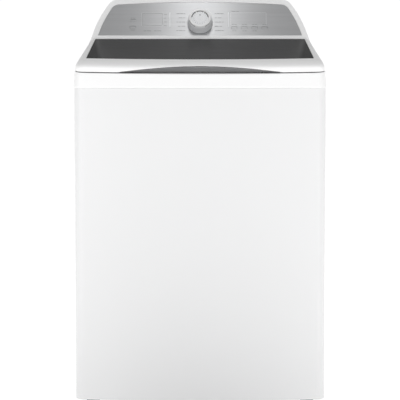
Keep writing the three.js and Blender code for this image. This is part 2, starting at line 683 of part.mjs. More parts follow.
function hingePocket(x) {
  const half = HINGE_WIDTH / 2 + HINGE_CLEARANCE;
  const top = HINGE_RISE + HINGE_EYE_RADIUS + HINGE_CLEARANCE;
  return join(
    box(x - half, x + half, LID_LENGTH - HINGE_POCKET, LID_LENGTH + OVERCUT, 0, top),
    pinAlongX(x - HINGE_POCKET, x + HINGE_POCKET, HINGE_V, HINGE_RISE, PIN_RADIUS + GAP),
  );
}

function hingePin(x) {
  const half = HINGE_POCKET - HINGE_CLEARANCE;
  return pinAlongX(x - half, x + half, HINGE_V, HINGE_RISE, PIN_RADIUS);
}

function hingeBracket(x) {
  const [half, eyeRadius, bore] = [HINGE_WIDTH / 2, HINGE_EYE_RADIUS, PIN_RADIUS + PIN_CLEARANCE];
  const post = box(x - half, x + half, HINGE_V - eyeRadius, HINGE_V + eyeRadius, GAP, HINGE_RISE);
  const eye = pinAlongX(x - half, x + half, HINGE_V, HINGE_RISE, eyeRadius);
  return cut(join(post, eye), pinAlongX(x - half - OVERCUT, x + half + OVERCUT, HINGE_V, HINGE_RISE, bore));
}

// ---------------------------------------------------------------- lid lock, under the deck
const boltZ = () => LID_GAP - GAP - STRIKE.drop + STRIKE_WINDOW.rise + STRIKE_WINDOW.margin + BOLT.side / 2;

function lidLock() {
  const top = -MOULD - GAP;
  const [floor, reach] = [top - LOCK.height, LOCK.length / 2];
  const [front, back] = [strikeV() - reach, strikeV() + reach];
  const housing = box(STRIKE.x - LOCK.left, STRIKE.x + LOCK.right, front, back, floor, top);
  const well = strikeBox(STRIKE_SLOT.width, STRIKE_SLOT.length, floor + LOCK.floor, top + OVERCUT);
  const half = BOLT.side / 2 + BOLT.clearance;
  const [left, right] = [STRIKE.x, STRIKE.x + LOCK.right + OVERCUT];
  const channel = box(left, right, strikeV() - half, strikeV() + half, boltZ() - half, boltZ() + half);
  return cut(housing, well, channel);
}

function lockBolt() {
  const [left, half] = [STRIKE.x + BOLT.start, BOLT.side / 2];
  return box(left, left + BOLT.length, strikeV() - half, strikeV() + half, boltZ() - half, boltZ() + half);
}

// ---------------------------------------------------------------- console
function consoleOutline(inset) {
  const shape = new THREE.Shape();
  const curve = CONSOLE_CURVE;
  const base = SIDE - CONSOLE_BASE_INSET - inset;
  const waist = SIDE - CONSOLE_WAIST_INSET - inset;
  const shoulder = SIDE - CONSOLE_SHOULDER_INSET - inset;
  const crown = SIDE - CONSOLE_TOP_INSET - inset;
  const [low, middle] = [SHELF_Z + GAP - inset * 2, FASCIA_Z - curve.waist];
  const [bend, bendZ] = [waist - curve.bend, FASCIA_Z + curve.bendRise];
  const high = CONSOLE_TOP - curve.shoulder - inset;
  const top = high + curve.crown;
  const corner = shoulder - curve.corner;
  shape.moveTo(-base, low);
  shape.lineTo(base, low);
  shape.lineTo(waist, middle);
  shape.quadraticCurveTo(bend, bendZ, shoulder, high);
  shape.quadraticCurveTo(corner, top - 1, crown, top);
  shape.quadraticCurveTo(0, CONSOLE_TOP + curve.arch - inset, -crown, top);
  shape.quadraticCurveTo(-corner, top - 1, -shoulder, high);
  shape.quadraticCurveTo(-bend, bendZ, -waist, middle);
  return shape;
}

// The console seen from the side: an upright foot, the leaning front, a falling top and an upright back.
function consoleSide(inset) {
  const slope = Math.tan(CONSOLE_TILT);
  const front = FASCIA_Y + inset * 1.2;
  const rise = CONSOLE_TOP + OVERCUT - FASCIA_Z;
  return alongX(
    [
      new THREE.Vector2(front - CONSOLE_LIP * slope, SHELF_Z - inset * 2),
      new THREE.Vector2(REAR - inset, SHELF_Z - inset * 2),
      new THREE.Vector2(REAR - inset, CONSOLE_TOP - CONSOLE_FALL - inset),
      new THREE.Vector2(front + rise * slope, CONSOLE_TOP + OVERCUT - inset),
      new THREE.Vector2(front - CONSOLE_LIP * slope, FASCIA_Z - CONSOLE_LIP),
    ],
    -SIDE,
    SIDE,
  );
}

// A frame on the fascia: x across, y up the slope, z out of it.
const consoleFrame = new THREE.Group();
consoleFrame.position.set(0, FASCIA_Y, FASCIA_Z);
consoleFrame.rotation.x = Math.PI / 2 - CONSOLE_TILT;
consoleFrame.updateMatrixWorld(true);
const onConsole = (geometry) => geometry.applyMatrix4(consoleFrame.matrixWorld);

function fasciaOutline(grow) {
  const [foot, shoulder] = [SIDE - FASCIA_FOOT_INSET + grow, SIDE - FASCIA_SHOULDER_INSET + grow];
  const crown = SIDE - FASCIA_TOP_INSET;
  const edge = FASCIA_LENGTH - FASCIA_CROWN + grow;
  const [bend, corner] = [foot - FASCIA_BEND.side, shoulder - FASCIA_BEND.corner];
  const middle = FASCIA_SHOULDER_LENGTH / 2;
  const shape = new THREE.Shape();
  shape.moveTo(-foot, -grow);
  shape.lineTo(foot, -grow);
  shape.quadraticCurveTo(bend, middle, shoulder, FASCIA_SHOULDER_LENGTH);
  shape.quadraticCurveTo(corner, edge, crown, edge);
  shape.quadraticCurveTo(0, edge + FASCIA_CROWN * 2, -crown, edge);
  shape.quadraticCurveTo(-corner, edge, -shoulder, FASCIA_SHOULDER_LENGTH);
  shape.quadraticCurveTo(-bend, middle, -foot, -grow);
  return shape;
}

function consoleHousing() {
  const outer = common(alongY(consoleOutline(0), SHELF_Y, REAR), consoleSide(0));
  const inner = common(alongY(consoleOutline(MOULD), SHELF_Y, REAR - MOULD), consoleSide(MOULD));
  const seat = FASCIA_THICKNESS + FASCIA_SET_BACK + GAP;
  const recess = onConsole(upright(fasciaOutline(GAP), -seat, OVERCUT));
  const window = onConsole(upright(fasciaOutline(-FASCIA_LEDGE), -seat - OVERCUT * 3, OVERCUT));
  const ledgeBlock = onConsole(upright(fasciaOutline(MOULD), -seat - MOULD, -GAP));
  return cut(join(cut(outer, inner), common(ledgeBlock, outer)), recess, window);
}

function keyPlaces() {
  const options = Array.from({ length: OPTION_KEYS.count }, (_, i) => ({
    name: `option_key_${i + 1}`,
    x: OPTION_KEYS.first + i * OPTION_KEYS.pitch,
    up: OPTION_KEYS.up,
  }));
  return [
    { name: "power_key", x: POWER_KEYS.x, up: POWER_KEYS.high },
    { name: "start_key", x: POWER_KEYS.x, up: POWER_KEYS.low },
    ...options,
  ];
}

const keyOutline = ({ x, up }, grow) =>
  roundedRect(x, up, KEY.width + 2 * grow, KEY.height + 2 * grow, KEY.corner + grow);

function displayOutline(grow) {
  const { x, up, width, height, corner } = DISPLAY;
  return roundedRect(x, up, width + 2 * grow, height + 2 * grow, corner + grow);
}

function consoleFascia() {
  const face = -FASCIA_SET_BACK;
  const back = face - FASCIA_THICKNESS;
  const keyHole = (place) =>
    upright(keyOutline(place, KEY.clearance), back - OVERCUT, OVERCUT, SMALL_CORNER_STEPS);
  return cut(
    upright(fasciaOutline(0), back, face),
    cylinder(0, KNOB_UP, back - OVERCUT, OVERCUT, KNOB_SHAFT + KNOB_SHAFT_CLEARANCE),
    ...keyPlaces().map(keyHole),
    upright(displayOutline(GAP), face - DISPLAY.thickness - GAP, OVERCUT, SMALL_CORNER_STEPS),
  );
}

const displayWindow = () =>
  upright(displayOutline(0), -FASCIA_SET_BACK - DISPLAY.thickness, -FASCIA_SET_BACK, SMALL_CORNER_STEPS);

function key(place) {
  const face = -FASCIA_SET_BACK - KEY_SET_BACK;
  return upright(keyOutline(place, 0), face - KEY.depth, face, SMALL_CORNER_STEPS);
}

function controlBoard() {
  const slab = ({ x, up, width, height }, z0, z1) =>
    box(x - width / 2, x + width / 2, up - height / 2, up + height / 2, z0, z1);
  const back = -BOARD.behind - BOARD.thickness;
  const plate = slab({ x: 0, ...BOARD }, back, -BOARD.behind);
  const sunk = -BOARD.behind - BOARD.thickness / 2;
  return join(plate, ...BOARD_PARTS.map((chip) => slab(chip, sunk, chip.rise - BOARD.behind)));
}

// ---------------------------------------------------------------- knob, about the fascia's own z axis
function knobSkirt() {
  const shelf = KNOB_HEIGHT - KNOB_CAP_SINK;
  return turned([
    [0, -KNOB_SHAFT_LENGTH],
    [KNOB_SHAFT, -KNOB_SHAFT_LENGTH],
    [KNOB_SHAFT, KNOB_LIFT],
    [KNOB_RADIUS, KNOB_LIFT],
    [KNOB_RADIUS - KNOB_EDGE / 2, KNOB_LIFT + KNOB_RING],
    [KNOB_FACE + KNOB_EDGE, shelf - KNOB_EDGE],
    [KNOB_FACE + KNOB_EDGE / 2, shelf],
    [0, shelf],
  ]);
}

function knobRing() {
  const foot = KNOB_HEIGHT - KNOB_CAP_SINK + GAP;
  return turnedRing([
    [KNOB_FACE - KNOB_RING, foot],
    [KNOB_FACE, foot],
    [KNOB_FACE, KNOB_HEIGHT - KNOB_EDGE],
    [KNOB_FACE - KNOB_EDGE, KNOB_HEIGHT],
    [KNOB_FACE - KNOB_RING, KNOB_HEIGHT - KNOB_EDGE / 2],
  ]);
}

function knobCap() {
  const foot = KNOB_HEIGHT - KNOB_CAP_SINK + GAP;
  const radius = KNOB_FACE - KNOB_RING - GAP;
  const edge = KNOB_HEIGHT - KNOB_EDGE;
  return turned([
    [0, foot],
    [radius, foot],
    [radius, edge - KNOB_EDGE / 2],
    [radius - KNOB_EDGE, edge],
    [0, edge + KNOB_LIFT],
  ]);
}

// ---------------------------------------------------------------- tub and what hangs on it
const atMiddle = (geometry) => geometry.translate(0, MIDDLE_Y, 0);

function outerTub() {
  const [bore, inner] = [HUB_RADIUS + RUNNING_CLEARANCE, TUB_RADIUS - TUB_WALL];
  const drum = atMiddle(
    turnedRing([
      [bore, TUB_FLOOR - BOSS_DROP],
      [BOSS_RADIUS, TUB_FLOOR - BOSS_DROP],
      [BOSS_RADIUS, TUB_FLOOR],
      [TUB_RADIUS - TUB_CORNER, TUB_FLOOR],
      [TUB_RADIUS, TUB_FLOOR + TUB_CORNER],
      [TUB_RADIUS, TUB_TOP],
      [inner, TUB_TOP],
      [inner, TUB_FLOOR + TUB_CORNER + TUB_WALL / 2],
      [inner - TUB_CORNER + TUB_WALL / 2, TUB_FLOOR + TUB_WALL],
      [bore, TUB_FLOOR + TUB_WALL],
    ]),
  );
  const reach = Math.hypot(ROD_X, ROD_Y);
  const lugs = corners().map(([x, y]) => {
    const start = TUB_RADIUS - TUB_WALL;
    const bar = box(start, reach, -LUG_WIDTH / 2, LUG_WIDTH / 2, LUG_Z, LUG_Z + LUG_HEIGHT);
    const end = cylinder(reach, 0, LUG_Z, LUG_Z + LUG_HEIGHT, LUG_WIDTH / 2);
    const lug = join(bar, end).rotateZ(Math.atan2(y - MIDDLE_Y, x));
    return atMiddle(lug);
  });
  const inside = atMiddle(cylinder(0, 0, TUB_FLOOR + TUB_CORNER, TUB_TOP, inner, WIDE_ROUND));
  const bores = corners().map(([x, y]) =>
    cylinder(x, y, LUG_Z - OVERCUT, LUG_Z + LUG_HEIGHT + OVERCUT, ROD_RADIUS + LUG_BORE_CLEARANCE),
  );
  return cut(join(drum, ...lugs.map((lug) => cut(lug, inside))), ...bores);
}

function tubRing() {
  const foot = TUB_TOP + GAP;
  return atMiddle(
    turnedRing([
      [TUB_RADIUS - RING_WIDTH, foot],
      [TUB_RADIUS + MOULD, foot],
      [TUB_RADIUS + MOULD, foot + TUB_WALL],
      [TUB_RADIUS - RING_HEIGHT / 2, foot + RING_HEIGHT],
      [TUB_RADIUS - RING_WIDTH, foot + RING_HEIGHT / 2],
    ]),
  );
}

function motor() {
  const top = TUB_FLOOR - GAP;
  const [foot, shaftFoot] = [top - MOTOR_HEIGHT, PULLEY_Z - PULLEY_HEIGHT];
  const profile = [
    [0, shaftFoot],
    [MOTOR_SHAFT, shaftFoot],
    [MOTOR_SHAFT, foot],
    [MOTOR_RADIUS - MOTOR_EDGE, foot],
    [MOTOR_RADIUS, foot + MOTOR_EDGE],
    [MOTOR_RADIUS, top],
    [0, top],
  ];
  return turned(profile, ROUND).translate(0, MIDDLE_Y + MOTOR_DISTANCE, 0);
}

function drainPump() {
  const top = TUB_FLOOR - GAP;
  const [foot, end] = [top - PUMP.height, -PUMP.radius - SPOUT.length];
  const body = cylinder(0, 0, foot, top, PUMP.radius);
  const spout = pinAlongX(end, 0, 0, foot + SPOUT.rise, SPOUT.radius);
  const bore = pinAlongX(end - OVERCUT, -PUMP.radius, 0, foot + SPOUT.rise, SPOUT.bore);
  return cut(join(body, spout), bore).translate(-PUMP.side, MIDDLE_Y - PUMP.front, 0);
}

// The belt's path round both pulleys, as an outline moved out from their surfaces.
function beltOutline(out) {
  const [big, small, distance] = [PULLEY_RADIUS + out, MOTOR_PULLEY_RADIUS + out, MOTOR_DISTANCE];
  const lean = Math.asin((big - small) / distance);
  const points = [];
  const arc = (y, radius, from, to, steps) => {
    for (let i = 0; i <= steps; i++) {
      const angle = from + ((to - from) * i) / steps;
      points.push(new THREE.Vector2(radius * Math.cos(angle), MIDDLE_Y + y + radius * Math.sin(angle)));
    }
  };
  arc(distance, small, lean, Math.PI - lean, ROUND / 2);
  arc(0, big, Math.PI - lean, Math.PI * 2 + lean, ROUND);
  return points;
}

function driveBelt() {
  const [low, high] = [PULLEY_Z - BELT_WIDTH / 2, PULLEY_Z + BELT_WIDTH / 2];
  const outer = upright(beltOutline(BELT_CLEARANCE + BELT_THICKNESS), low, high);
  return cut(outer, upright(beltOutline(BELT_CLEARANCE), low - OVERCUT, high + OVERCUT));
}

function washBasket() {
  const [inner, low] = [BASKET_RADIUS - BASKET_WALL, BASKET_Z];
  return atMiddle(
    turnedRing([
      [HUB_RADIUS + GAP, low],
      [BASKET_RADIUS - BASKET_CORNER, low],
      [BASKET_RADIUS, low + BASKET_CORNER],
      [BASKET_RADIUS, BASKET_TOP],
      [inner, BASKET_TOP],
      [inner, low + BASKET_CORNER + BASKET_WALL / 2],
      [inner - BASKET_CORNER + BASKET_WALL / 2, low + BASKET_WALL],
      [HUB_RADIUS + GAP, low + BASKET_WALL],
    ]),
  );
}

function balanceRing() {
  const [low, high] = [BASKET_TOP + GAP, BASKET_TOP + BALANCE_HEIGHT];
  const [inner, edge] = [BASKET_RADIUS - BALANCE_WIDTH, BALANCE_WIDTH / 4];
  return atMiddle(
    turnedRing([
      [inner + edge, low],
      [BASKET_RADIUS, low],
      [BASKET_RADIUS, high - edge],
      [BASKET_RADIUS - edge, high],
      [inner + edge, high],
      [inner, high - edge],
      [inner, low + edge],
    ]),
  );
}

function basketHub() {
  const [foot, seat] = [TUB_FLOOR - BOSS_DROP - HUB_DROP, BASKET_Z + BASKET_WALL + GAP];
  const [bore, flange] = [SHAFT_RADIUS + RUNNING_CLEARANCE, HUB_RADIUS + HUB_FLANGE.width];
  const profile = [
    [bore, foot],
    [HUB_RADIUS, foot],
    [HUB_RADIUS, seat],
    [flange, seat],
    [flange, seat + HUB_FLANGE.thickness],
    [bore, seat + HUB_FLANGE.thickness],
  ];
  return atMiddle(turnedRing(profile, ROUND));
}

const plateZ = () => BASKET_Z + BASKET_WALL + PLATE_RISE;

function washPlate() {
  const radius = BASKET_RADIUS - BASKET_WALL - PLATE_GAP;
  const low = plateZ();
  const [high, edge] = [low + PLATE_HEIGHT, PLATE_HEIGHT / 3];
  const disc = turned([
    [0, low],
    [radius, low],
    [radius, high - edge],
    [radius - edge, high],
    ...DOME_PROFILE.map(({ share, rise }) => [radius * share, high + PLATE_DOME * rise]),
    [0, high + PLATE_DOME],
  ]);
  const [sunk, crest] = [low + edge, VANE_PROFILE.at(-1).share];
  const ridge = VANE_PROFILE.map(
    ({ share, rise }) => new THREE.Vector2(radius * share, high + VANE.height * rise),
  );
  const vanes = Array.from({ length: VANE.count }, (_, i) => {
    const outline = [
      new THREE.Vector2(radius * crest, sunk),
      new THREE.Vector2(radius - VANE.short, sunk),
      ...ridge,
    ];
    const vane = alongY(outline, -VANE.width / 2, VANE.width / 2);
    return vane.rotateZ((2 * Math.PI * i) / VANE.count);
  });
  return atMiddle(join(disc, ...vanes));
}

function driveShaft() {
  return atMiddle(cylinder(0, 0, PULLEY_Z + PULLEY_HEIGHT / 2 + GAP, plateZ() - GAP, SHAFT_RADIUS));
}

// A grooved pulley whose belt seat is narrower than its flanges.
function pulley(radius, bore) {
  const [low, high] = [PULLEY_Z - PULLEY_HEIGHT / 2, PULLEY_Z + PULLEY_HEIGHT / 2];
  const flange = radius + BELT_THICKNESS * 0.75;
  const seat = BELT_WIDTH / 2 + 2 * RUNNING_CLEARANCE;
  const outside = [
    [flange, low],
    [flange, PULLEY_Z - seat],
    [radius, PULLEY_Z - seat],
    [radius, PULLEY_Z + seat],
    [flange, PULLEY_Z + seat],
    [flange, high],
  ];
  return bore > 0
    ? turnedRing([[bore, low], ...outside, [bore, high]], ROUND)
    : turned([[0, low], ...outside, [0, high]], ROUND);
}

// ---------------------------------------------------------------- suspension
function suspensionRod(x, y) {
  const foot = LUG_Z - SPRING_LENGTH - SPRING_CUP.height;
  const seat = BRACKET_Z + SHEET + GAP;
  return turned(
    [
      [0, foot],
      [SPRING_CUP.radius - SPRING_CUP.bevel, foot],
      [SPRING_CUP.radius, foot + SPRING_CUP.height],
      [ROD_RADIUS, foot + SPRING_CUP.height],
      [ROD_RADIUS, seat],
      ...BALL_PROFILE.map(([out, up]) => [BALL_RADIUS * out, seat + BALL_RADIUS * up]),
    ],
    ROUND / 2,
  ).translate(x, y, 0);
}

function suspensionSpring(x, y) {
  const [low, high] = [LUG_Z - SPRING_LENGTH + GAP, LUG_Z - GAP];
  return turnedRing(
    [
      [SPRING_BORE, low],
      [SPRING_RADIUS, low],
      [SPRING_RADIUS, high],
      [SPRING_BORE, high],
    ],
    ROUND / 2,
  ).translate(x, y, 0);
}

// ---------------------------------------------------------------- rear fittings
const portXs = () => [VALVE.x - PORT_SPACING / 2, VALVE.x + PORT_SPACING / 2];
const portZ = () => CABINET_TOP - VALVE.drop;

const drainZ = () => CABINET_TOP - DRAIN.drop;
const panelInside = () => PANEL_Y - SHEET - GAP;

// A flanged tube that comes out of the rear panel, with its flange inside.
function rearTube(x, z, { radius, bore, flange, flangeThickness }, end) {
  const start = panelInside() - flangeThickness;
  return cut(
    join(tubeAlongY(x, z, start, end, radius), tubeAlongY(x, z, start, panelInside(), flange)),
    tubeAlongY(x, z, start - OVERCUT, end + OVERCUT, bore),
  );
}

// A supply port, closed by the valve at its inner end.
function inletPort(x) {
  const start = panelInside() - PORT.flangeThickness;
  const plug = tubeAlongY(x, portZ(), start, start + PORT.flangeThickness / 2, PORT.radius);
  return join(rearTube(x, portZ(), PORT, DEPTH / 2), plug);
}

const ductBack = () => panelInside() - PORT.flangeThickness - GAP;

function inletValve() {
  const front = ductBack() - VALVE.depth;
  const [x, z, half, low] = [VALVE.x, portZ(), VALVE.width / 2, portZ() - VALVE.height / 2];
  const body = box(x - half, x + half, front, ductBack(), low, z + VALVE.height / 2);
  const middle = (front + ductBack()) / 2;
  const coils = portXs().map((place) =>
    cylinder(place, middle, low - VALVE.coilDrop, low + GAP, VALVE.coilRadius),
  );
  return join(body, ...coils);
}

const ductZ = () => SHELF_Z - DUCT.drop;
const openingRear = () => FRONT + LID_LENGTH * Math.cos(DECK_SLOPE) - OPENING_REAR;
const ductMouth = () => openingRear() + DUCT.stand;

// From the valve's top up the back and across to the middle, behind the duct.
function fillRiser() {
  const back = ductBack();
  const low = portZ() + VALVE.height / 2 + GAP;
  const [half, top] = [DUCT.width / 2, ductZ()];
  const riser = box(VALVE.x - half, VALVE.x + half, back - DUCT.riser, back, low, top);
  const header = box(-half, VALVE.x + half, back - DUCT.header, back, top - DUCT.height, top);
  return join(riser, header);
}

// A flat duct from the header forward to the neck of the opening, where its mouth is.
function fillDuct() {
  const [half, top, end] = [DUCT.width / 2, ductZ(), ductBack() - DUCT.header - GAP];
  const mouth = ductMouth();
  const outside = box(-half, half, mouth, end, top - DUCT.height, top);
  const [low, high, side] = [top - DUCT.height + MOULD, top - MOULD, half - MOULD];
  return cut(outside, box(-side, side, mouth - OVERCUT, end - MOULD, low, high));
}

// ---------------------------------------------------------------- assembly
const machine = new THREE.Group();

function add(parent, name, geometry, look) {
  const mesh = new THREE.Mesh(geometry, look);
  mesh.name = name;
  parent.add(mesh);
  return mesh;
}

const lidFrameGroup = new THREE.Group();
lidFrameGroup.position.set(0, FRONT, DECK_Z);
lidFrameGroup.rotation.x = DECK_SLOPE;
const knobGroup = new THREE.Group();
knobGroup.position.set(0, KNOB_UP, -FASCIA_SET_BACK);
consoleFrame.add(knobGroup);
machine.add(lidFrameGroup, consoleFrame);

add(machine, "cabinet_shell", cabinetShell(), WHITE_PAINT());
add(machine, "rear_panel", rearPanel(), STEEL());
add(machine, "base_frame", baseFrame(), STEEL());
add(machine, "top_cover", topCover(), WHITE_PLASTIC());
add(machine, "dispenser_cup", dispenserCup(), GREY_PLASTIC());
add(machine, "console_housing", consoleHousing(), WHITE_PLASTIC());
footPlaces().forEach(([x, y], i) => add(machine, `foot_${i + 1}`, foot(x, y), BLACK_RUBBER()));

add(consoleFrame, "console_fascia", consoleFascia(), BRUSHED());
add(consoleFrame, "display_window", displayWindow(), BRUSHED());
add(consoleFrame, "control_board", controlBoard(), BOARD_GREEN());
keyPlaces().forEach((place) => add(consoleFrame, place.name, key(place), BRUSHED()));
add(knobGroup, "knob_skirt", knobSkirt(), BRUSHED());
add(knobGroup, "knob_ring", knobRing(), CHROME());
add(knobGroup, "knob_cap", knobCap(), WHITE_PLASTIC());

add(lidFrameGroup, "lid_frame", lidFrame(), WHITE_PLASTIC());
add(lidFrameGroup, "lid_glass", lidGlass(), SMOKED_GLASS());
add(lidFrameGroup, "lid_liner", lidLiner(), WHITE_PLASTIC());
add(lidFrameGroup, "handle_insert", handleInsert(), GREY_PLASTIC());
add(lidFrameGroup, "lid_strike", lidStrike(), STEEL());
add(lidFrameGroup, "lid_lock", lidLock(), DARK_PLASTIC());
add(lidFrameGroup, "lock_bolt", lockBolt(), STEEL());
["left", "right"].forEach((side, i) => {
  add(lidFrameGroup, `hinge_bracket_${side}`, hingeBracket(hingePlaces()[i]), GREY_PLASTIC());
  add(lidFrameGroup, `hinge_pin_${side}`, hingePin(hingePlaces()[i]), STEEL());
});

add(machine, "outer_tub", outerTub(), GREY_PLASTIC());
add(machine, "tub_ring", tubRing(), WHITE_PLASTIC());
add(machine, "drive_motor", motor(), CAST());
add(machine, "drain_pump", drainPump(), DARK_PLASTIC());
add(machine, "drive_belt", driveBelt(), BLACK_RUBBER());
add(machine, "wash_basket", washBasket(), STAINLESS());
add(machine, "balance_ring", balanceRing(), GREY_PLASTIC());
add(machine, "basket_hub", basketHub(), CAST());
add(machine, "wash_plate", washPlate(), GREY_PLASTIC());
add(machine, "drive_shaft", driveShaft(), STEEL());
add(machine, "drive_pulley", atMiddle(pulley(PULLEY_RADIUS, 0)), CAST());
const motorPulley = pulley(MOTOR_PULLEY_RADIUS, MOTOR_SHAFT + RUNNING_CLEARANCE);
add(machine, "motor_pulley", atMiddle(motorPulley).translate(0, MOTOR_DISTANCE, 0), CAST());
corners().forEach(([x, y], i) => {
  add(machine, `suspension_rod_${i + 1}`, suspensionRod(x, y), STEEL());
  add(machine, `suspension_spring_${i + 1}`, suspensionSpring(x, y), STEEL());
});

add(machine, "inlet_valve", inletValve(), DARK_PLASTIC());
["hot", "cold"].forEach((kind, i) => add(machine, `inlet_port_${kind}`, inletPort(portXs()[i]), BRASS()));
add(machine, "fill_riser", fillRiser(), GREY_PLASTIC());
add(machine, "fill_duct", fillDuct(), GREY_PLASTIC());
add(machine, "drain_fitting", rearTube(DRAIN.x, drainZ(), DRAIN, DEPTH / 2), DARK_PLASTIC());
add(machine, "mains_gland", rearTube(GLAND.x, GLAND.z, GLAND, DEPTH / 2 - GLAND.shorter), BLACK_RUBBER());

export default machine;
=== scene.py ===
"""The looks of a top load washing machine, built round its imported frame.

Shapes are worked out in millimetres, as the frame was, and become metres when a mesh is made.
"""

import json
from math import atan2, cos, hypot, pi, radians, sin, tan

import bmesh
import bpy
from bpy.props import FloatProperty, FloatVectorProperty, IntProperty, PointerProperty
from mathutils import Matrix, Vector


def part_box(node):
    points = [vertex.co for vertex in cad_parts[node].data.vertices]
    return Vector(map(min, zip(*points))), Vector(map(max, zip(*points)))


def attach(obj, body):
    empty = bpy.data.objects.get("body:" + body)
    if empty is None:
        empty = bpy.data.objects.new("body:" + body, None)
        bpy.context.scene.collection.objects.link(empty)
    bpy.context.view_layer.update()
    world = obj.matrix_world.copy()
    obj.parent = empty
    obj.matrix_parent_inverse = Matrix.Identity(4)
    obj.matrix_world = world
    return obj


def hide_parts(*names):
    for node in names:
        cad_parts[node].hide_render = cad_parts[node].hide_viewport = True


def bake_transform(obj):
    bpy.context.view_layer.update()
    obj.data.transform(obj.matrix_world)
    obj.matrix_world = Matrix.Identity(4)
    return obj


bl_info = {
    "name": "Top Load Washing Machine",
    "version": (1, 0, 0),
    "blender": (4, 5, 0),
    "location": "View3D > Sidebar > Washer",
    "description": "Builds the visible pieces of a top load washing machine round its frame",
    "category": "Object",
}

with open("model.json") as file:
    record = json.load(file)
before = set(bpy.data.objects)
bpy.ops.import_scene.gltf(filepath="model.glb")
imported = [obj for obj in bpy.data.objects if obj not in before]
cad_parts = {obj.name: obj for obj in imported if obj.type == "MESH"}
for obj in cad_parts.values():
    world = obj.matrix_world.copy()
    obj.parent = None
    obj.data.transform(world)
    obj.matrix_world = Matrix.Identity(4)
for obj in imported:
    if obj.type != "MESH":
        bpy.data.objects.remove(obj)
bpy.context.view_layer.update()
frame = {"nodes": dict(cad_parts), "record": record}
RECORD = frame["record"]
BODY_OF = {n: b for b, nodes in RECORD["behaviour"]["bodies"].items() for n in nodes}
SLOT_OF = {part["node"]: part["material_slot"] for part in RECORD["subparts"]}
MM = 0.001


def span(node):
    """The lowest and highest corners of a frame node, in millimetres."""
    low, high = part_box(node)
    return low / MM, high / MM


# ------------------------------------------------------------------ sizes that the frame gives
SIDE = span("top_cover")[1].x
FRONT = span("top_cover")[0].y
REAR = span("cabinet_shell")[1].y
FOOT_HEIGHT, CABINET_TOP = span("cabinet_shell")[0].z, span("cabinet_shell")[1].z
SHELF_Z = span("top_cover")[1].z
TUB_RADIUS = span("outer_tub")[1].x
BASKET_RADIUS = span("wash_basket")[1].x
BASKET_Z, BASKET_TOP = span("wash_basket")[0].z, span("wash_basket")[1].z
TUB_TOP = span("outer_tub")[1].z
MIDDLE_Y = (span("wash_basket")[0].y + span("wash_basket")[1].y) / 2

# ------------------------------------------------------------------ sizes shared with the frame's source
GAP, SHEET, MOULD, LIP = 0.3, 2.0, 3.0, 2.0
FRONT_BOW, CORNER_RADIUS = 24.0, 30.0
BAND_HEIGHT, LIP_HEIGHT, DRAFT = 39.5, 6.0, 0.09
REAR_FLANGE = 26.0
DECK_SLOPE = radians(8.05)
DECK_Z = CABINET_TOP + BAND_HEIGHT
OPENING = {"half": 220.0, "front": 72.0, "rear": 22.0, "radius": 85.0, "foot": 20.0}
LID_GAP, LID_LENGTH, LID_THICKNESS = 3.0, 462.0, 29.0
LID_TOP = LID_GAP + LID_THICKNESS
LID_SET_BACK, LID_CORNER = 3.0, 26.0
LID_FRONT_BORDER, LID_SIDE_BORDER, LID_REAR_BORDER = 57.0, 30.0, 15.0
LID_TAPER = 16.0  # how much narrower each side of the lid is at its rear
LID_HALF = SIDE - DRAFT * (BAND_HEIGHT - LIP_HEIGHT)
LID_PROFILE = (
    (0, 0, 1, 2),
    (0.4, 1.5, 1.5, 1),
    (0.62, 4, 6, 0.5),
    (0.8, 7, 17, 1),
    (0.93, 12, 34, 3),
    (1, 20, LID_FRONT_BORDER, 8),
)  # share of the height, and the insets there of the sides, front and rear
GLASS_THICKNESS, GLASS_TAPER, GLASS_CORNER = 4.0, 7.0, 6.0
# Painted reflection: past a slanted line near each end of the lid, the glass's colour is painted darker.
GLASS_PAINTED_REFLECTION = {"edge": 0.302, "slant": 0.096, "fade": 0.012}  # metres from the middle, and per metre back
RECESS = {"half": 230.0, "height": 17.0, "depth": 24.0}
HINGE = {"inset": 95.0, "back": 7.0, "rise": 18.0, "width": 12.0, "eye": 7.0, "pocket": 22.0, "pin": 4.0}
STRIKE = {"x": 170.0, "distance": 38.0, "slot": (12.0, 28.0)}
SHELF_Y = span("console_housing")[0].y
CONSOLE_LIP, CONSOLE_TILT = 9.0, radians(33.5)
FASCIA_Z = SHELF_Z + LID_TOP + 6.5
FASCIA_Y = SHELF_Y + CONSOLE_LIP * tan(CONSOLE_TILT)
CONSOLE_TOP = FASCIA_Z + 117.5
FASCIA_SET_BACK, FASCIA_THICKNESS, FASCIA_LEDGE = 0.8, 2.5, 7.0
KNOB_UP, KNOB_RADIUS, KNOB_FACE, KNOB_RING, KNOB_HEIGHT = 44.7, 38.5, 33.0, 6.0, 31.0
KEY = {"width": 18.0, "height": 8.0, "corner": 3.0, "depth": 9.0, "back": 1.1}
KEYS = {"power_key": (-205, 54), "start_key": (-205, 30)}
OPTION_X = [104 + 31 * i for i in range(4)]
KEYS.update({f"option_key_{i + 1}": (x, 28) for i, x in enumerate(OPTION_X)})
DISPLAY = {"x": -146.0, "up": 59.0, "width": 62.0, "height": 44.0, "corner": 4.0, "thickness": 1.5}
BELT = {"wheel": 105.0, "pinion": 21.0, "height": 5.6, "distance": 178.0}
CUP = {"x": -282.0, "y": FRONT + 190, "width": 66.0, "length": 120.0, "corner": 18.0}

ON_DECK = Matrix.Translation((0, FRONT, DECK_Z)) @ Matrix.Rotation(DECK_SLOPE, 4, "X")
ON_CONSOLE = Matrix.Translation((0, FASCIA_Y, FASCIA_Z)) @ Matrix.Rotation(pi / 2 - CONSOLE_TILT, 4, "X")
ON_KNOB = ON_CONSOLE @ Matrix.Translation((0, KNOB_UP, -FASCIA_SET_BACK))
AT_MIDDLE = Matrix.Translation((0, MIDDLE_Y, 0))
FACING_BACK = (-pi / 2, 0, 0)


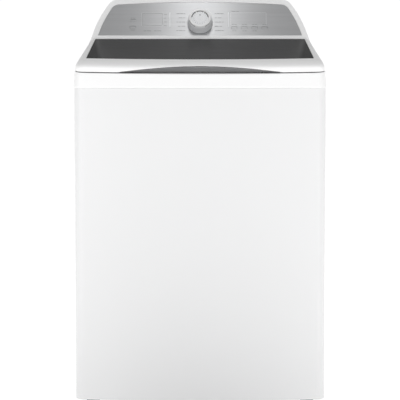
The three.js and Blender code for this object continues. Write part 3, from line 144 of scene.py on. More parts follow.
# ------------------------------------------------------------------ settings that a user would change
class WasherSizes(bpy.types.PropertyGroup):
    """Sizes and counts of the details."""

    panel_rounding: FloatProperty(
        name="Panel rounding", description="Radius on the edges of the cabinet's panels",
        default=0.0006, min=0.0002, max=0.0009, subtype="DISTANCE", unit="LENGTH",
    )
    console_rounding: FloatProperty(
        name="Console rounding", description="Radius round the console's front",
        default=0.0045, min=0.0005, max=0.008, subtype="DISTANCE", unit="LENGTH",
    )
    hole_columns: IntProperty(
        name="Perforations round the basket", description="Holes in one row of the basket",
        default=60, min=12, max=120,
    )
    hole_rows: IntProperty(
        name="Perforation rows", description="Rows of holes up the basket", default=13, min=2, max=30,
    )
    hole_radius: FloatProperty(
        name="Perforation radius", description="Radius of one hole of the basket",
        default=0.0021, min=0.001, max=0.004, subtype="DISTANCE", unit="LENGTH",
    )
    grip_ribs: IntProperty(
        name="Knob ribs", description="Fine ribs round the knob's skirt", default=72, min=12, max=120,
    )
    vanes: IntProperty(
        name="Wash plate vanes", description="Vanes on the wash plate", default=6, min=2, max=12,
    )
    spring_turns: IntProperty(
        name="Spring turns", description="Turns of wire in a suspension spring", default=9, min=4, max=14,
    )


class WasherColours(bpy.types.PropertyGroup):
    """Colours of the finishes."""

    enamel: FloatVectorProperty(
        name="Enamel", description="Colour of the painted cabinet", subtype="COLOR",
        default=(0.805, 0.806, 0.809), min=0, max=1,
    )
    moulding: FloatVectorProperty(
        name="White plastic", description="Colour of the cover, lid and console", subtype="COLOR",
        default=(0.91, 0.91, 0.91), min=0, max=1,
    )
    metal: FloatVectorProperty(
        name="Fascia metal", description="Colour of the fascia", subtype="COLOR",
        default=(0.48, 0.484, 0.492), min=0, max=1,
    )
    glass: FloatVectorProperty(
        name="Smoked glass", description="Tint of the lid's glass", subtype="COLOR",
        default=(0.086, 0.0862, 0.087), min=0, max=1,
    )
    grip: FloatVectorProperty(
        name="Grey plastic", description="Colour of the grip and the inner mouldings", subtype="COLOR",
        default=(0.2, 0.202, 0.207), min=0, max=1,
    )


class WasherStudio(bpy.types.PropertyGroup):
    """The stage's lights and camera."""

    lens: FloatProperty(
        name="Lens", description="Focal length of the camera", default=161.8, min=20, max=400,
        subtype="DISTANCE_CAMERA",
    )
    sky: FloatProperty(
        name="Room light", description="Strength of the light from all round", default=1.0, min=0, max=4,
    )
    key_power: FloatProperty(
        name="Front light", description="Power of the large front light", default=7.0, min=0, max=500,
        unit="POWER",
    )
    card_power: FloatProperty(
        name="Side light", description="Power of the low light at the front right", default=2.6, min=0,
        max=200, unit="POWER",
    )
    strip_power: FloatProperty(
        name="Console light", description="Power of the narrow light over the console", default=0.62, min=0,
        max=200, unit="POWER",
    )


def sizes():
    return bpy.context.scene.washer_sizes


def colours():
    return bpy.context.scene.washer_colours


def studio():
    return bpy.context.scene.washer_studio


# ------------------------------------------------------------------ node expressions
class Value:
    """A node's output, so that maths on it reads as an expression."""

    def __init__(self, nodes, socket):
        self.nodes, self.socket = nodes, socket

    def _math(self, operation, first, second=None):
        values = {0: first} if second is None else {0: first, 1: second}
        return self.nodes.add("ShaderNodeMath", {"operation": operation}, values)

    def __add__(self, other):
        return self._math("ADD", self, other)

    def __sub__(self, other):
        return self._math("SUBTRACT", self, other)

    def __mul__(self, other):
        return self._math("MULTIPLY", self, other)

    def __truediv__(self, other):
        return self._math("DIVIDE", self, other)

    def __mod__(self, other):
        return self._math("FLOORED_MODULO", self, other)

    def __pow__(self, other):
        return self._math("POWER", self, other)

    def floor(self):
        return self._math("FLOOR", self)

    def sine(self):
        return self._math("SINE", self)

    def cosine(self):
        return self._math("COSINE", self)


class Nodes:
    """A node tree that grows by one call a node."""

    def __init__(self, tree):
        self.tree = tree

    def add(self, kind, settings=None, sockets=None, out=0):
        """Adds a node: its settings first, then its sockets' values or links. Gives one output."""
        node = self.tree.nodes.new(kind)
        for name, value in (settings or {}).items():
            if name == "stops":
                self._stops(node.color_ramp, value)
            else:
                setattr(node, name, value)
        for name, value in (sockets or {}).items():
            self.set(node.inputs[name], value)
        return Value(self, node.outputs[out]) if len(node.outputs) else node

    @staticmethod
    def _stops(ramp, stops):
        while len(ramp.elements) < len(stops):
            ramp.elements.new(1.0)
        for element, (place, shade) in zip(ramp.elements, stops):
            element.position = place
            element.color = (shade, shade, shade, 1) if isinstance(shade, (int, float)) else (*shade, 1)

    def set(self, socket, value):
        if isinstance(value, Value):
            self.tree.links.new(value.socket, socket)
        elif socket.type == "RGBA" and len(value) == 3:
            socket.default_value = (*value, 1)
        else:
            socket.default_value = value

    # shader helpers
    def place(self, scale=(1, 1, 1), turn=(0, 0, 0), move=(0, 0, 0)):
        """The piece's own coordinates in metres, moved, turned and scaled."""
        where = self.add("ShaderNodeTexCoord", out="Object")
        return self.add(
            "ShaderNodeMapping", {"vector_type": "POINT"},
            {"Vector": where, "Scale": scale, "Rotation": turn, "Location": move},
        )

    def split(self, vector):
        """The three parts of a vector."""
        node = self.tree.nodes.new("ShaderNodeSeparateXYZ")
        self.set(node.inputs[0], vector)
        return [Value(self, output) for output in node.outputs]

    def noise(self, where, scale, detail=2.0, rough=0.5):
        return self.add(
            "ShaderNodeTexNoise", {}, {"Vector": where, "Scale": scale, "Detail": detail, "Roughness": rough},
        )

    def range(self, value, low, high, start=0.0, end=1.0, kind="LINEAR"):
        """Goes from low to high as the value goes from start to end."""
        return self.add(
            "ShaderNodeMapRange", {"interpolation_type": kind},
            {"Value": value, "From Min": start, "From Max": end, "To Min": low, "To Max": high},
        )

    def smooth_range(self, value, low, high, start, end):
        return self.range(value, low, high, start, end, "SMOOTHSTEP")

    def mix(self, share, first, second):
        """A colour between two colours."""
        node = self.tree.nodes.new("ShaderNodeMix")
        node.data_type = "RGBA"
        self.set(node.inputs[0], share)
        self.set(node.inputs[6], first)
        self.set(node.inputs[7], second)
        return Value(self, node.outputs[2])

    def bump(self, height, strength, distance):
        return self.add(
            "ShaderNodeBump", {}, {"Height": height, "Strength": strength, "Distance": distance}, "Normal",
        )


def finish(name, build, **settings):
    """Makes a material, or gives the one made before. build(nodes) gives what varies over the surface."""
    label = "washer_" + name
    old = bpy.data.materials.get(label)
    if old:
        return old
    material = bpy.data.materials.new(label)
    material.use_nodes = True
    nodes = Nodes(material.node_tree)
    shader = next(n for n in material.node_tree.nodes if n.type == "BSDF_PRINCIPLED")
    for socket, value in {**settings, **build(nodes)}.items():
        nodes.set(shader.inputs[socket.replace("_", " ")], value)
    return material


def tinted(colour, share):
    """A colour made darker or lighter by a share."""
    return tuple(min(1.0, c * share) for c in colour)


# ------------------------------------------------------------------ finishes
def enamel():
    """Gloss enamel on steel sheet, with a faint orange peel."""
    colour = colours().enamel

    def build(n):
        peel = n.noise(n.place(), 420, 3)
        cloud = n.noise(n.place(), 2.2, 4)
        shade = n.mix(n.range(cloud, 0, 1, 0.3, 0.7), tinted(colour, 0.985), colour)
        return {
            "Base Color": shade,
            "Roughness": n.range(n.noise(n.place(), 36, 4), 0.3, 0.4),
            "Normal": n.bump(peel, 0.05, 0.0001),
        }

    return finish("white_enamel", build, IOR=1.48)


def white_plastic():
    """Gloss white moulding with a very fine grain."""
    colour = colours().moulding

    def build(n):
        grain = n.noise(n.place(), 900, 2)
        shade = n.mix(n.range(n.noise(n.place(), 2, 2), 0, 1, 0.3, 0.7), tinted(colour, 0.995), colour)
        return {
            "Base Color": shade,
            "Roughness": n.range(n.noise(n.place(), 6, 2), 0.3, 0.34),
            "Normal": n.bump(grain, 0.01, 0.00005),
        }

    return finish("white_moulding", build, IOR=1.47)


def brushed_metal():
    """Fine brushing that runs across the fascia."""
    colour = colours().metal

    def build(n):
        lines = n.noise(n.place((6, 900, 900)), 1, 3, 0.6)
        broad = n.noise(n.place((2, 120, 120)), 1, 2)
        share = n.range(lines * 0.6 + broad * 0.4, 0, 1, 0.32, 0.68)
        return {
            "Base Color": n.mix(share, tinted(colour, 0.93), tinted(colour, 1.05)),
            "Roughness": n.range(lines, 0.26, 0.36),
            "Metallic": n.range(broad, 0.9, 0.98),
            "Normal": n.bump(lines, 0.12, 0.0001),
        }

    return finish("brushed_fascia", build)


def turned_metal(name, share, rough, metallic):
    """Metal with fine rings about the knob's axis, as a turned face has."""
    colour = tinted(colours().metal, share)
    to_knob = ON_KNOB.inverted()

    def build(n):
        x, y, z = n.split(n.place(turn=tuple(to_knob.to_euler()), move=tuple(to_knob.to_translation() * MM)))
        radius = (x * x + y * y) ** 0.5
        ring_place = n.add("ShaderNodeCombineXYZ", {}, {0: radius * 2400, 1: z * 2400, 2: 0.0})
        rings = n.noise(ring_place, 1, 2)
        return {
            "Base Color": n.mix(n.range(rings, 0, 1, 0.3, 0.7), tinted(colour, 0.86), tinted(colour, 1.1)),
            "Roughness": n.range(rings, rough - 0.06, rough + 0.08),
            "Normal": n.bump(rings, 0.15, 0.00008),
        }

    return finish(name, build, Metallic=metallic)


def knob_metal():
    return turned_metal("knob_metal", 1.8, 0.42, 0.35)


def cap_metal():
    return turned_metal("knob_cap_metal", 1.85, 0.45, 0.1)


def chrome():
    """Pale satin chrome."""

    def build(n):
        smear = n.noise(n.place(), 80, 4)
        return {
            "Base Color": n.mix(smear, (0.95, 0.95, 0.955), (0.99, 0.99, 0.992)),
            "Roughness": n.range(smear, 0.28, 0.34),
        }

    return finish("chrome_trim", build, Metallic=0.1)


def smoked_glass():
    """Dark glass, with a painted reflection that makes the corners at both of its ends darker still."""
    colour = colours().glass

    def build(n):
        smear = n.noise(n.place((3, 14, 14)), 3, 4)
        x, y, _ = n.split(n.place())
        # painted reflection: the glass is darker past a slanted line near each of its ends
        border = (x * x) ** 0.5 - (y * GLASS_PAINTED_REFLECTION["slant"] + GLASS_PAINTED_REFLECTION["edge"])
        painted_reflection = n.range(border, 0, 1, 0, GLASS_PAINTED_REFLECTION["fade"])
        tint = n.mix(smear, tinted(colour, 0.95), tinted(colour, 1.05))
        return {
            "Base Color": n.mix(painted_reflection, tint, tinted(colour, 0.5)),
            "Roughness": n.range(smear, 0.24, 0.28),
            "Alpha": n.range(smear, 0.95, 0.97, 0.3, 0.7),
        }

    return finish("smoked_glass", build, IOR=1.03)


def glass_border():
    def build(n):
        speck = n.noise(n.place(), 700, 2)
        return {
            "Base Color": n.mix(speck, (0.018, 0.018, 0.02), (0.035, 0.035, 0.038)),
            "Roughness": n.range(speck, 0.3, 0.42),
        }

    return finish("glass_border", build)


def grained_plastic(name, colour, grain=650, rough=(0.42, 0.55), strength=0.2):
    """Satin plastic with a moulded grain."""

    def build(n):
        spots = n.noise(n.place(), grain, 3)
        cloud = n.noise(n.place(), 9, 3)
        share = n.range(cloud + spots * 0.4, 0, 1, 0.45, 0.95)
        return {
            "Base Color": n.mix(share, tinted(colour, 0.9), tinted(colour, 1.06)),
            "Roughness": n.range(cloud, rough[0], rough[1], 0.3, 0.7),
            "Normal": n.bump(spots, strength, 0.0002),
        }

    return finish(name, build)


def grey_plastic():
    return grained_plastic("grey_plastic", colours().grip)


def tub_plastic():
    return grained_plastic("tub_plastic", (0.3, 0.31, 0.32), 300, (0.5, 0.62), 0.3)


def dark_plastic():
    return grained_plastic("dark_plastic", (0.035, 0.036, 0.038), 700, (0.45, 0.6), 0.25)


def rubber():
    return grained_plastic("black_rubber", (0.022, 0.022, 0.022), 500, (0.75, 0.9), 0.35)


def zinc_steel():
    """Zinc coated sheet with its crystal flakes."""

    def build(n):
        flakes = n.add("ShaderNodeTexVoronoi", {"feature": "F1"}, {"Vector": n.place(), "Scale": 85}, "Color")
        flake = n.add("ShaderNodeSeparateColor", {}, {"Color": flakes})
        stain = n.noise(n.place(), 5, 4)
        share = n.range(flake * 0.6 + stain * 0.4, 0, 1, 0.2, 0.8)
        return {
            "Base Color": n.mix(share, (0.47, 0.48, 0.49), (0.66, 0.67, 0.68)),
            "Roughness": n.range(flake, 0.32, 0.5),
        }

    return finish("zinc_steel", build, Metallic=0.85)


def stainless():
    """Rolled stainless sheet with fine level lines."""

    def build(n):
        lines = n.noise(n.place((8, 8, 1400)), 1, 2)
        water = n.noise(n.place(), 14, 4)
        share = n.range(lines * 0.7 + water * 0.3, 0, 1, 0.3, 0.7)
        return {
            "Base Color": n.mix(share, (0.56, 0.57, 0.58), (0.74, 0.75, 0.76)),
            "Roughness": n.range(lines, 0.22, 0.36),
            "Normal": n.bump(lines, 0.08, 0.0001),
        }

    return finish("stainless_sheet", build, Metallic=1.0)


def cast_metal(name, colour, rough):
    def build(n):
        lumps = n.noise(n.place(), 260, 4, 0.65)
        cloud = n.noise(n.place(), 18, 3)
        return {
            "Base Color": n.mix(n.range(cloud, 0, 1, 0.3, 0.7), tinted(colour, 0.86), tinted(colour, 1.1)),
            "Roughness": n.range(lumps, rough - 0.08, rough + 0.1),
            "Normal": n.bump(lumps, 0.3, 0.0004),
        }

    return finish(name, build, Metallic=0.8)


def cast_alloy():
    return cast_metal("cast_alloy", (0.42, 0.43, 0.44), 0.5)


def painted_iron():
    return cast_metal("painted_iron", (0.1, 0.105, 0.11), 0.55)


def brass():
    def build(n):
        rings = n.noise(n.place((300, 2600, 300)), 1, 2)
        return {
            "Base Color": n.mix(rings, (0.55, 0.39, 0.16), (0.78, 0.6, 0.3)),
            "Roughness": n.range(rings, 0.24, 0.4),
        }

    return finish("machined_brass", build, Metallic=1.0)


def circuit_board():
    """Green coating with lines of copper under it."""

    def build(n):
        where = n.place((1, 1, 1), (CONSOLE_TILT - pi / 2, 0, 0))
        lines = n.add(
            "ShaderNodeTexBrick", {"offset": 0.37},
            {"Vector": where, "Scale": 160, "Mortar Size": 0.06, "Color1": (0, 0, 0), "Color2": (0, 0, 0),
             "Mortar": (1, 1, 1)},
        )
        track = n.add("ShaderNodeSeparateColor", {}, {"Color": lines})
        return {
            "Base Color": n.mix(track, (0.012, 0.09, 0.035), (0.05, 0.22, 0.09)),
            "Roughness": n.range(track, 0.3, 0.45),
        }

    return finish("circuit_board", build)


# Dark print on the knob, also used for the painted shade in the gap round its ring.
def dark_print():
    return grained_plastic("dark_print", (0.07, 0.072, 0.076), 900, (0.5, 0.6), 0.05)


def grey_print():
    return grained_plastic("grey_print", (0.26, 0.262, 0.265), 900, (0.5, 0.6), 0.05)


def light_print():
    return grained_plastic("light_print", (0.86, 0.87, 0.88), 900, (0.35, 0.45), 0.05)


def hole_dark():
    return grained_plastic("hole_shadow", (0.012, 0.012, 0.013), 600, (0.7, 0.85), 0.1)


FINISHES = {
    "white_paint": enamel,
    "white_plastic": white_plastic,
    "brushed_metal": brushed_metal,
    "chrome_trim": chrome,
    "smoked_glass": smoked_glass,
    "grey_plastic": grey_plastic,
    "dark_plastic": dark_plastic,
    "black_rubber": rubber,
    "zinc_steel": zinc_steel,
    "stainless": stainless,
    "brass_port": brass,
    "cast_alloy": cast_alloy,
    "iron": painted_iron,
    "board": circuit_board,
}


# ------------------------------------------------------------------ making meshes
def make(name, parts):
    """One object from (corners in millimetres, faces) pairs, with its faces turned outwards."""
    corners, faces = [], []
    for part_corners, part_faces in parts:
        start = len(corners)
        corners += [tuple(c * MM for c in corner) for corner in part_corners]
        faces += [tuple(start + i for i in face) for face in part_faces]
    mesh = bpy.data.meshes.new(name)
    mesh.from_pydata(corners, [], faces)
    piece = bpy.data.objects.new(name, mesh)
    bpy.context.scene.collection.objects.link(piece)
    mend(piece)
    return piece


def mend(piece, turn_out=True, flatten=False):
    """Merges doubled corners and turns the faces outwards."""
    net = bmesh.new()
    net.from_mesh(piece.data)
    bmesh.ops.remove_doubles(net, verts=net.verts, dist=2e-6)
    if flatten:
        bmesh.ops.dissolve_limit(
            net, angle_limit=radians(1), verts=net.verts, edges=net.edges, delimit=set(),
        )
    if turn_out:
        bmesh.ops.recalc_face_normals(net, faces=net.faces)
    net.to_mesh(piece.data)
    net.free()


def metres(matrix):
    """A placing in millimetres as one in metres."""
    placed = matrix.copy()
    placed.translation *= MM
    return placed


def lay(piece, matrix):
    """Moves a finished mesh to its place on the machine."""
    piece.data.transform(metres(matrix))
    return piece


def moved(part, matrix):
    corners, faces = part
    return [tuple(matrix @ Vector(corner)) for corner in corners], faces


def loft(rings, capped=True):
    """Skin through rings of the same number of corners."""
    count = len(rings[0])
    corners = [corner for ring in rings for corner in ring]
    faces = []
    for level in range(len(rings) - 1):
        for i in range(count):
            a, b = level * count + i, level * count + (i + 1) % count
            faces.append((a, b, b + count, a + count))
    if capped:
        faces.append(tuple(reversed(range(count))))
        faces.append(tuple(range(len(corners) - count, len(corners))))
    return corners, faces


def prism(outline, low, high):
    return loft([[(x, y, z) for x, y in outline] for z in (low, high)])


def along_x(outline, x0, x1):
    return loft([[(x, y, z) for y, z in outline] for x in (x0, x1)])


def along_y(outline, y0, y1):
    return loft([[(x, y, z) for x, z in outline] for y in (y0, y1)])


def block(x0, x1, y0, y1, z0, z1):
    return prism([(x0, y0), (x1, y0), (x1, y1), (x0, y1)], z0, z1)


def ribbon(outer, inner, low, high):
    """A wall between two paths of the same number of corners, which don't close."""
    corners, faces = [], []
    for (ox, oy), (ix, iy) in zip(outer, inner):
        corners += [(ox, oy, low), (ox, oy, high), (ix, iy, high), (ix, iy, low)]
    for i in range(len(outer) - 1):
        for j in range(4):
            a, b = i * 4 + j, i * 4 + (j + 1) % 4
            faces.append((a, b, b + 4, a + 4))
    last = len(corners) - 4
    return corners, faces + [(3, 2, 1, 0), (last, last + 1, last + 2, last + 3)]


def lathe(profile, steps=96, closed=False, wave=None):
    """A profile of (radius, height) turned about Z. wave(angle, radius, height) gives a changed pair."""
    corners, faces, rows = [], [], []
    for radius, height in profile:
        if radius < 1e-6:
            rows.append([len(corners)] * steps)
            corners.append((0, 0, height))
            continue
        rows.append(list(range(len(corners), len(corners) + steps)))
        for i in range(steps):
            angle = 2 * pi * i / steps
            r, h = wave(angle, radius, height) if wave else (radius, height)
            corners.append((r * cos(angle), r * sin(angle), h))
    pairs = list(zip(rows, rows[1:])) + ([(rows[-1], rows[0])] if closed else [])
    for low, high in pairs:
        for i in range(steps):
            j = (i + 1) % steps
            face = []
            for corner in (low[i], low[j], high[j], high[i]):
                if corner not in face:
                    face.append(corner)
            if len(face) > 2:
                faces.append(tuple(face))
    return corners, faces


def tube(path, radius, steps):
    """A round tube along a path, with closed ends."""
    rings = []
    points = [Vector(p) for p in path]
    side = Vector((0, 0, 1))
    for i, point in enumerate(points):
        ahead = (points[min(i + 1, len(points) - 1)] - points[max(i - 1, 0)]).normalized()
        across = ahead.cross(side)
        across = across.normalized() if across.length > 1e-6 else Vector((1, 0, 0))
        over = across.cross(ahead)
        rings.append([
            tuple(point + (across * cos(a) + over * sin(a)) * radius)
            for a in (2 * pi * k / steps for k in range(steps))
        ])
    return loft(rings)


def arc_points(x, y, radius, start, end, steps):
    angles = [start + (end - start) * i / steps for i in range(steps + 1)]
    return [(x + radius * cos(a), y + radius * sin(a)) for a in angles]


def rounded(x, y, width, height, radius, steps=8):
    """A rectangle with round corners, about a middle."""
    w, h, points = width / 2 - radius, height / 2 - radius, []
    for sx, sy, start in ((1, -1, -pi / 2), (1, 1, 0), (-1, 1, pi / 2), (-1, -1, pi)):
        points += arc_points(x + sx * w, y + sy * h, radius, start, start + pi / 2, steps)
    return points


def curve(start, bend, end, steps):
    """A quadratic curve, without its first point."""
    return [
        tuple((1 - t) ** 2 * a + 2 * t * (1 - t) * b + t * t * c for a, b, c in zip(start, bend, end))
        for t in (i / steps for i in range(1, steps + 1))
    ]


def ease(share):
    share = min(1.0, max(0.0, share))
    return share * share * (3 - 2 * share)


def glide(table, share):
    """Values at a share between the rows of a table, on a smooth curve through them."""
    k = max(i for i in range(len(table) - 1) if table[i][0] <= share or i == 0)
    low, high = table[k], table[k + 1]
    width = high[0] - low[0]
    t = (share - low[0]) / width

    def slope(i, j):
        a, b = table[max(i - 1, 0)], table[min(i + 1, len(table) - 1)]
        return (b[j] - a[j]) / (b[0] - a[0])

    found = []
    for j in range(1, len(low)):
        m0, m1 = slope(k, j) * width, slope(k + 1, j) * width
        found.append(
            (2 * t**3 - 3 * t**2 + 1) * low[j] + (t**3 - 2 * t**2 + t) * m0
            + (3 * t**2 - 2 * t**3) * high[j] + (t**3 - t**2) * m1
        )
    return found


def bake(piece):
    """Turns a piece's modifiers into its mesh."""
    shape = bpy.data.meshes.new_from_object(piece.evaluated_get(bpy.context.evaluated_depsgraph_get()))
    piece.modifiers.clear()
    old, piece.data = piece.data, shape
    shape.name = piece.name
    bpy.data.meshes.remove(old)


def carve(piece, *parts, kind="DIFFERENCE"):
    """Cuts parts from a piece, or joins or intersects them with it."""
    for part in parts:
        cutter = part if isinstance(part, bpy.types.Object) else make("cutter", [part])
        step = piece.modifiers.new("Carve", "BOOLEAN")
        step.object, step.operation, step.solver = cutter, kind, "EXACT"
        bake(piece)
        bpy.data.objects.remove(cutter)
    return piece


def soften(piece, width, segments=2, angle=32):
    """Rounds a piece's hard edges. The width is in millimetres."""
    mend(piece, turn_out=False)
    step = piece.modifiers.new("Rounding", "BEVEL")
    step.width, step.segments = width * MM, segments
    step.limit_method, step.angle_limit = "ANGLE", radians(angle)
    step.use_clamp_overlap = True
    bake(piece)
    return piece


def shade(piece, angle=32):
    """Smooth shading with sharp edges past an angle, kept flat on large flat faces."""
    piece.data.shade_smooth()
    piece.data.set_sharp_from_angle(angle=radians(angle))
    step = piece.modifiers.new("Flat faces first", "WEIGHTED_NORMAL")
    step.mode, step.weight, step.keep_sharp = "FACE_AREA", 80, True
    bake(piece)


def copy_of(node):
    """A merged copy of a frame node's mesh, for rounding its edges."""
    piece = bpy.data.objects.new(node + "_look", frame["nodes"][node].data.copy())
    bpy.context.scene.collection.objects.link(piece)
    piece.data.materials.clear()
    mend(piece, turn_out=False, flatten=True)
    return piece


def coat(piece, material):
    piece.data.materials.clear()
    piece.data.materials.append(material)


def stand_in(piece, node, material=None, angle=32):
    """A piece takes the place of a frame node: its body, and the finish of its slot."""
    shade(piece, angle)
    coat(piece, material or FINISHES[SLOT_OF[node]]())
    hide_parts(node)
    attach(piece, BODY_OF[node])
    return piece


def add_on(piece, body, slot, material=None, angle=32):
    """A detail that has no frame node of its own."""
    shade(piece, angle)
    coat(piece, material or FINISHES[slot]())
    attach(piece, body)
    return piece


def keep(node):
    """A frame node stays as it is, with a better finish."""
    for slot in frame["nodes"][node].material_slots:
        slot.material = FINISHES[SLOT_OF[node]]()


def soft_copy(node, width):
    """A frame node's shape with rounded edges."""
    return stand_in(soften(copy_of(node), width), node)


# ------------------------------------------------------------------ repeated shapes, by geometry nodes
def node_group(name, sockets):
    """An empty geometry tree with named inputs. Gives the tree, its nodes and its inputs by name."""
    tree = bpy.data.node_groups.new(name, "GeometryNodeTree")
    tree.interface.new_socket("Geometry", in_out="OUTPUT", socket_type="NodeSocketGeometry")
    for label, kind in sockets:
        tree.interface.new_socket(label, in_out="INPUT", socket_type=kind)
    nodes = Nodes(tree)
    source = tree.nodes.new("NodeGroupInput")
    values = {label: Value(nodes, source.outputs[i]) for i, (label, _) in enumerate(sockets)}
    return tree, nodes, values


def end_group(tree, nodes, instances, material):
    real = nodes.add("GeometryNodeRealizeInstances", {}, {"Geometry": instances})
    coated = nodes.add("GeometryNodeSetMaterial", {}, {"Geometry": real, "Material": material})
    output = tree.nodes.new("NodeGroupOutput")
    tree.links.new(coated.socket, output.inputs[0])
    return tree


def ring_tree():
    """Copies of a shape in level rings about the Z axis."""
    old = bpy.data.node_groups.get("Copies in rings")
    if old:
        return old
    tree, n, value = node_group("Copies in rings", [
        ("Points", "NodeSocketGeometry"), ("Shape", "NodeSocketObject"), ("Material", "NodeSocketMaterial"),
        ("Radius", "NodeSocketFloat"), ("Foot", "NodeSocketFloat"), ("Pitch", "NodeSocketFloat"),
        ("Rows", "NodeSocketInt"), ("Count", "NodeSocketInt"), ("Stagger", "NodeSocketFloat"),
    ])
    index = n.add("GeometryNodeInputIndex")
    row = (index / value["Count"]).floor()
    angle = (index % value["Count"] + row % 2 * value["Stagger"]) / value["Count"] * (2 * pi)
    x, y = value["Radius"] * angle.cosine(), value["Radius"] * angle.sine()
    spot = n.add("ShaderNodeCombineXYZ", {}, {0: x, 1: y, 2: value["Foot"] + row * value["Pitch"]})
    points = n.add("GeometryNodePoints", {}, {"Count": value["Rows"] * value["Count"], "Position": spot})
    shape = n.add("GeometryNodeObjectInfo", {}, {"Object": value["Shape"]}, "Geometry")
    turn = n.add("ShaderNodeCombineXYZ", {}, {2: angle})
    copies = n.add(
        "GeometryNodeInstanceOnPoints", {}, {"Points": points, "Instance": shape, "Rotation": turn},
    )
    return end_group(tree, n, copies, value["Material"])


def spot_tree():
    """Copies of a shape on a mesh's corners, each with its own size and turn."""
    old = bpy.data.node_groups.get("Copies on spots")
    if old:
        return old
    tree, n, value = node_group("Copies on spots", [
        ("Spots", "NodeSocketGeometry"), ("Shape", "NodeSocketObject"), ("Material", "NodeSocketMaterial"),
    ])
    shape = n.add("GeometryNodeObjectInfo", {}, {"Object": value["Shape"]}, "Geometry")
    size = n.add("GeometryNodeInputNamedAttribute", {"data_type": "FLOAT_VECTOR"}, {"Name": "size"})
    turn = n.add("GeometryNodeInputNamedAttribute", {"data_type": "FLOAT_VECTOR"}, {"Name": "turn"})
    copies = n.add(
        "GeometryNodeInstanceOnPoints", {},
        {"Points": value["Spots"], "Instance": shape, "Rotation": turn, "Scale": size},
    )
    return end_group(tree, n, copies, value["Material"])


def grow(name, carrier, tree, inputs, matrix=None):
    """Runs a tree on a carrier mesh and gives its plain mesh as one piece."""
    step = carrier.modifiers.new("Copies", "NODES")
    step.node_group = tree
    idents = {i.name: i.identifier for i in tree.interface.items_tree if i.in_out == "INPUT"}
    for label, value in inputs.items():
        step[idents[label]] = value
    carrier.name = name
    bake(carrier)
    bpy.data.objects.remove(inputs["Shape"])
    if matrix:
        lay(carrier, matrix)
    return carrier


def rings_of(name, shape, material, radius, foot, pitch, rows, count, stagger, matrix):
    """Rows of copies, a pitch apart from the foot up. Each row starts a stagger of a step further round."""
    carrier = make(name + "_carrier", [block(0, 1, 0, 1, 0, 1)])
    values = {
        "Shape": shape, "Material": material, "Radius": radius * MM, "Foot": foot * MM, "Pitch": pitch * MM,
        "Rows": rows, "Count": count, "Stagger": stagger,
    }
    return grow(name, carrier, ring_tree(), values, matrix)


def spokes_of(name, shape, material, height, count, matrix, stagger=0.0):
    """One row of copies of a shape that already stands at its own distance from the axis."""
    return rings_of(name, shape, material, 0, height, 0, 1, count, stagger, matrix)


def spots_of(name, shape, material, spots, matrix=None):
    """spots holds (place, size, turn) rows, in millimetres, shares of the shape and radians."""
    mesh = bpy.data.meshes.new(name)
    mesh.from_pydata([tuple(c * MM for c in place) for place, _, _ in spots], [], [])
    for label, column in (("size", 1), ("turn", 2)):
        layer = mesh.attributes.new(label, "FLOAT_VECTOR", "POINT")
        layer.data.foreach_set("vector", [c for row in spots for c in row[column]])
    carrier = bpy.data.objects.new(name, mesh)
    bpy.context.scene.collection.objects.link(carrier)
    return grow(name, carrier, spot_tree(), {"Shape": shape, "Material": material}, matrix)


def screw_head():
    """A pan head with a cross in it, on the XY plane."""
    radius, rise, slit = 4.0, 1.8, 0.45
    arm = radius * 0.55
    dome = make("screw_shape", [lathe([
        (0, -0.4), (radius, -0.4), (radius, 0.5), (radius * 0.85, rise * 0.75), (radius * 0.5, rise),
        (0, rise),
    ], 16)])
    return carve(
        dome,
        block(-arm, arm, -slit, slit, rise * 0.5, rise + 1),
        block(-slit, slit, -arm, arm, rise * 0.5, rise + 1),
    )


# ------------------------------------------------------------------ plans of the body
def body_outline(half, front, back, corner=CORNER_RADIUS, corner_steps=12, front_steps=40):
    """Anticlockwise from above: square back corners, then round front corners and a bowed front."""
    flat = half - corner
    lean = 2 * FRONT_BOW * flat / SIDE**2

    def bowed(x):
        return front + FRONT_BOW * (x / SIDE) ** 2

    end = -flat + corner * cos(1.5 * pi - lean)
    middle = bowed(end) - corner * sin(1.5 * pi - lean)
    left = arc_points(-flat, middle, corner, pi, 1.5 * pi - lean, corner_steps)
    front_row = [(end + (-2 * end) * i / front_steps) for i in range(1, front_steps)]
    right = [(-x, y) for x, y in reversed(left)]
    return [(half, back), (-half, back)] + left + [(x, bowed(x)) for x in front_row] + right


def cover_body(inset, low):
    """The cover's outside from a level up: an upright lip, then sides that lean in by the draft."""
    rings = []
    for z in (low, CABINET_TOP + LIP_HEIGHT, CABINET_TOP + 130):
        lean = inset + max(0, z - CABINET_TOP - LIP_HEIGHT) * DRAFT
        rings.append([(x, y, z) for x, y in body_outline(SIDE - lean, FRONT + lean, REAR - inset)])
    return loft(rings)


def under_deck(drop, low):
    """All that lies a drop below the sloping deck and its shelf, and above a level."""
    past, wide = 5, 500
    top = SHELF_Z - drop
    foot = DECK_Z - drop - past * tan(DECK_SLOPE)
    front, rear = FRONT - past, REAR + past
    return along_x([(front, low), (rear, low), (rear, top), (SHELF_Y, top), (front, foot)], -wide, wide)


def opening_outline(grow_by):
    """The wash opening in the deck, seen from above."""
    front = FRONT + OPENING["front"]
    back = FRONT + LID_LENGTH * cos(DECK_SLOPE) - OPENING["rear"]
    width, length = 2 * (OPENING["half"] + grow_by), back - front + 2 * grow_by
    return rounded(0, (front + back) / 2, width, length, OPENING["radius"] + grow_by, 20)


def corner_spots():
    """Where the four suspension rods stand."""
    low, high = span("suspension_rod_1")
    x, y = (low.x + high.x) / 2, (low.y + high.y) / 2
    return [(sx * abs(x), MIDDLE_Y + sy * abs(y - MIDDLE_Y)) for sy in (-1, 1) for sx in (-1, 1)]


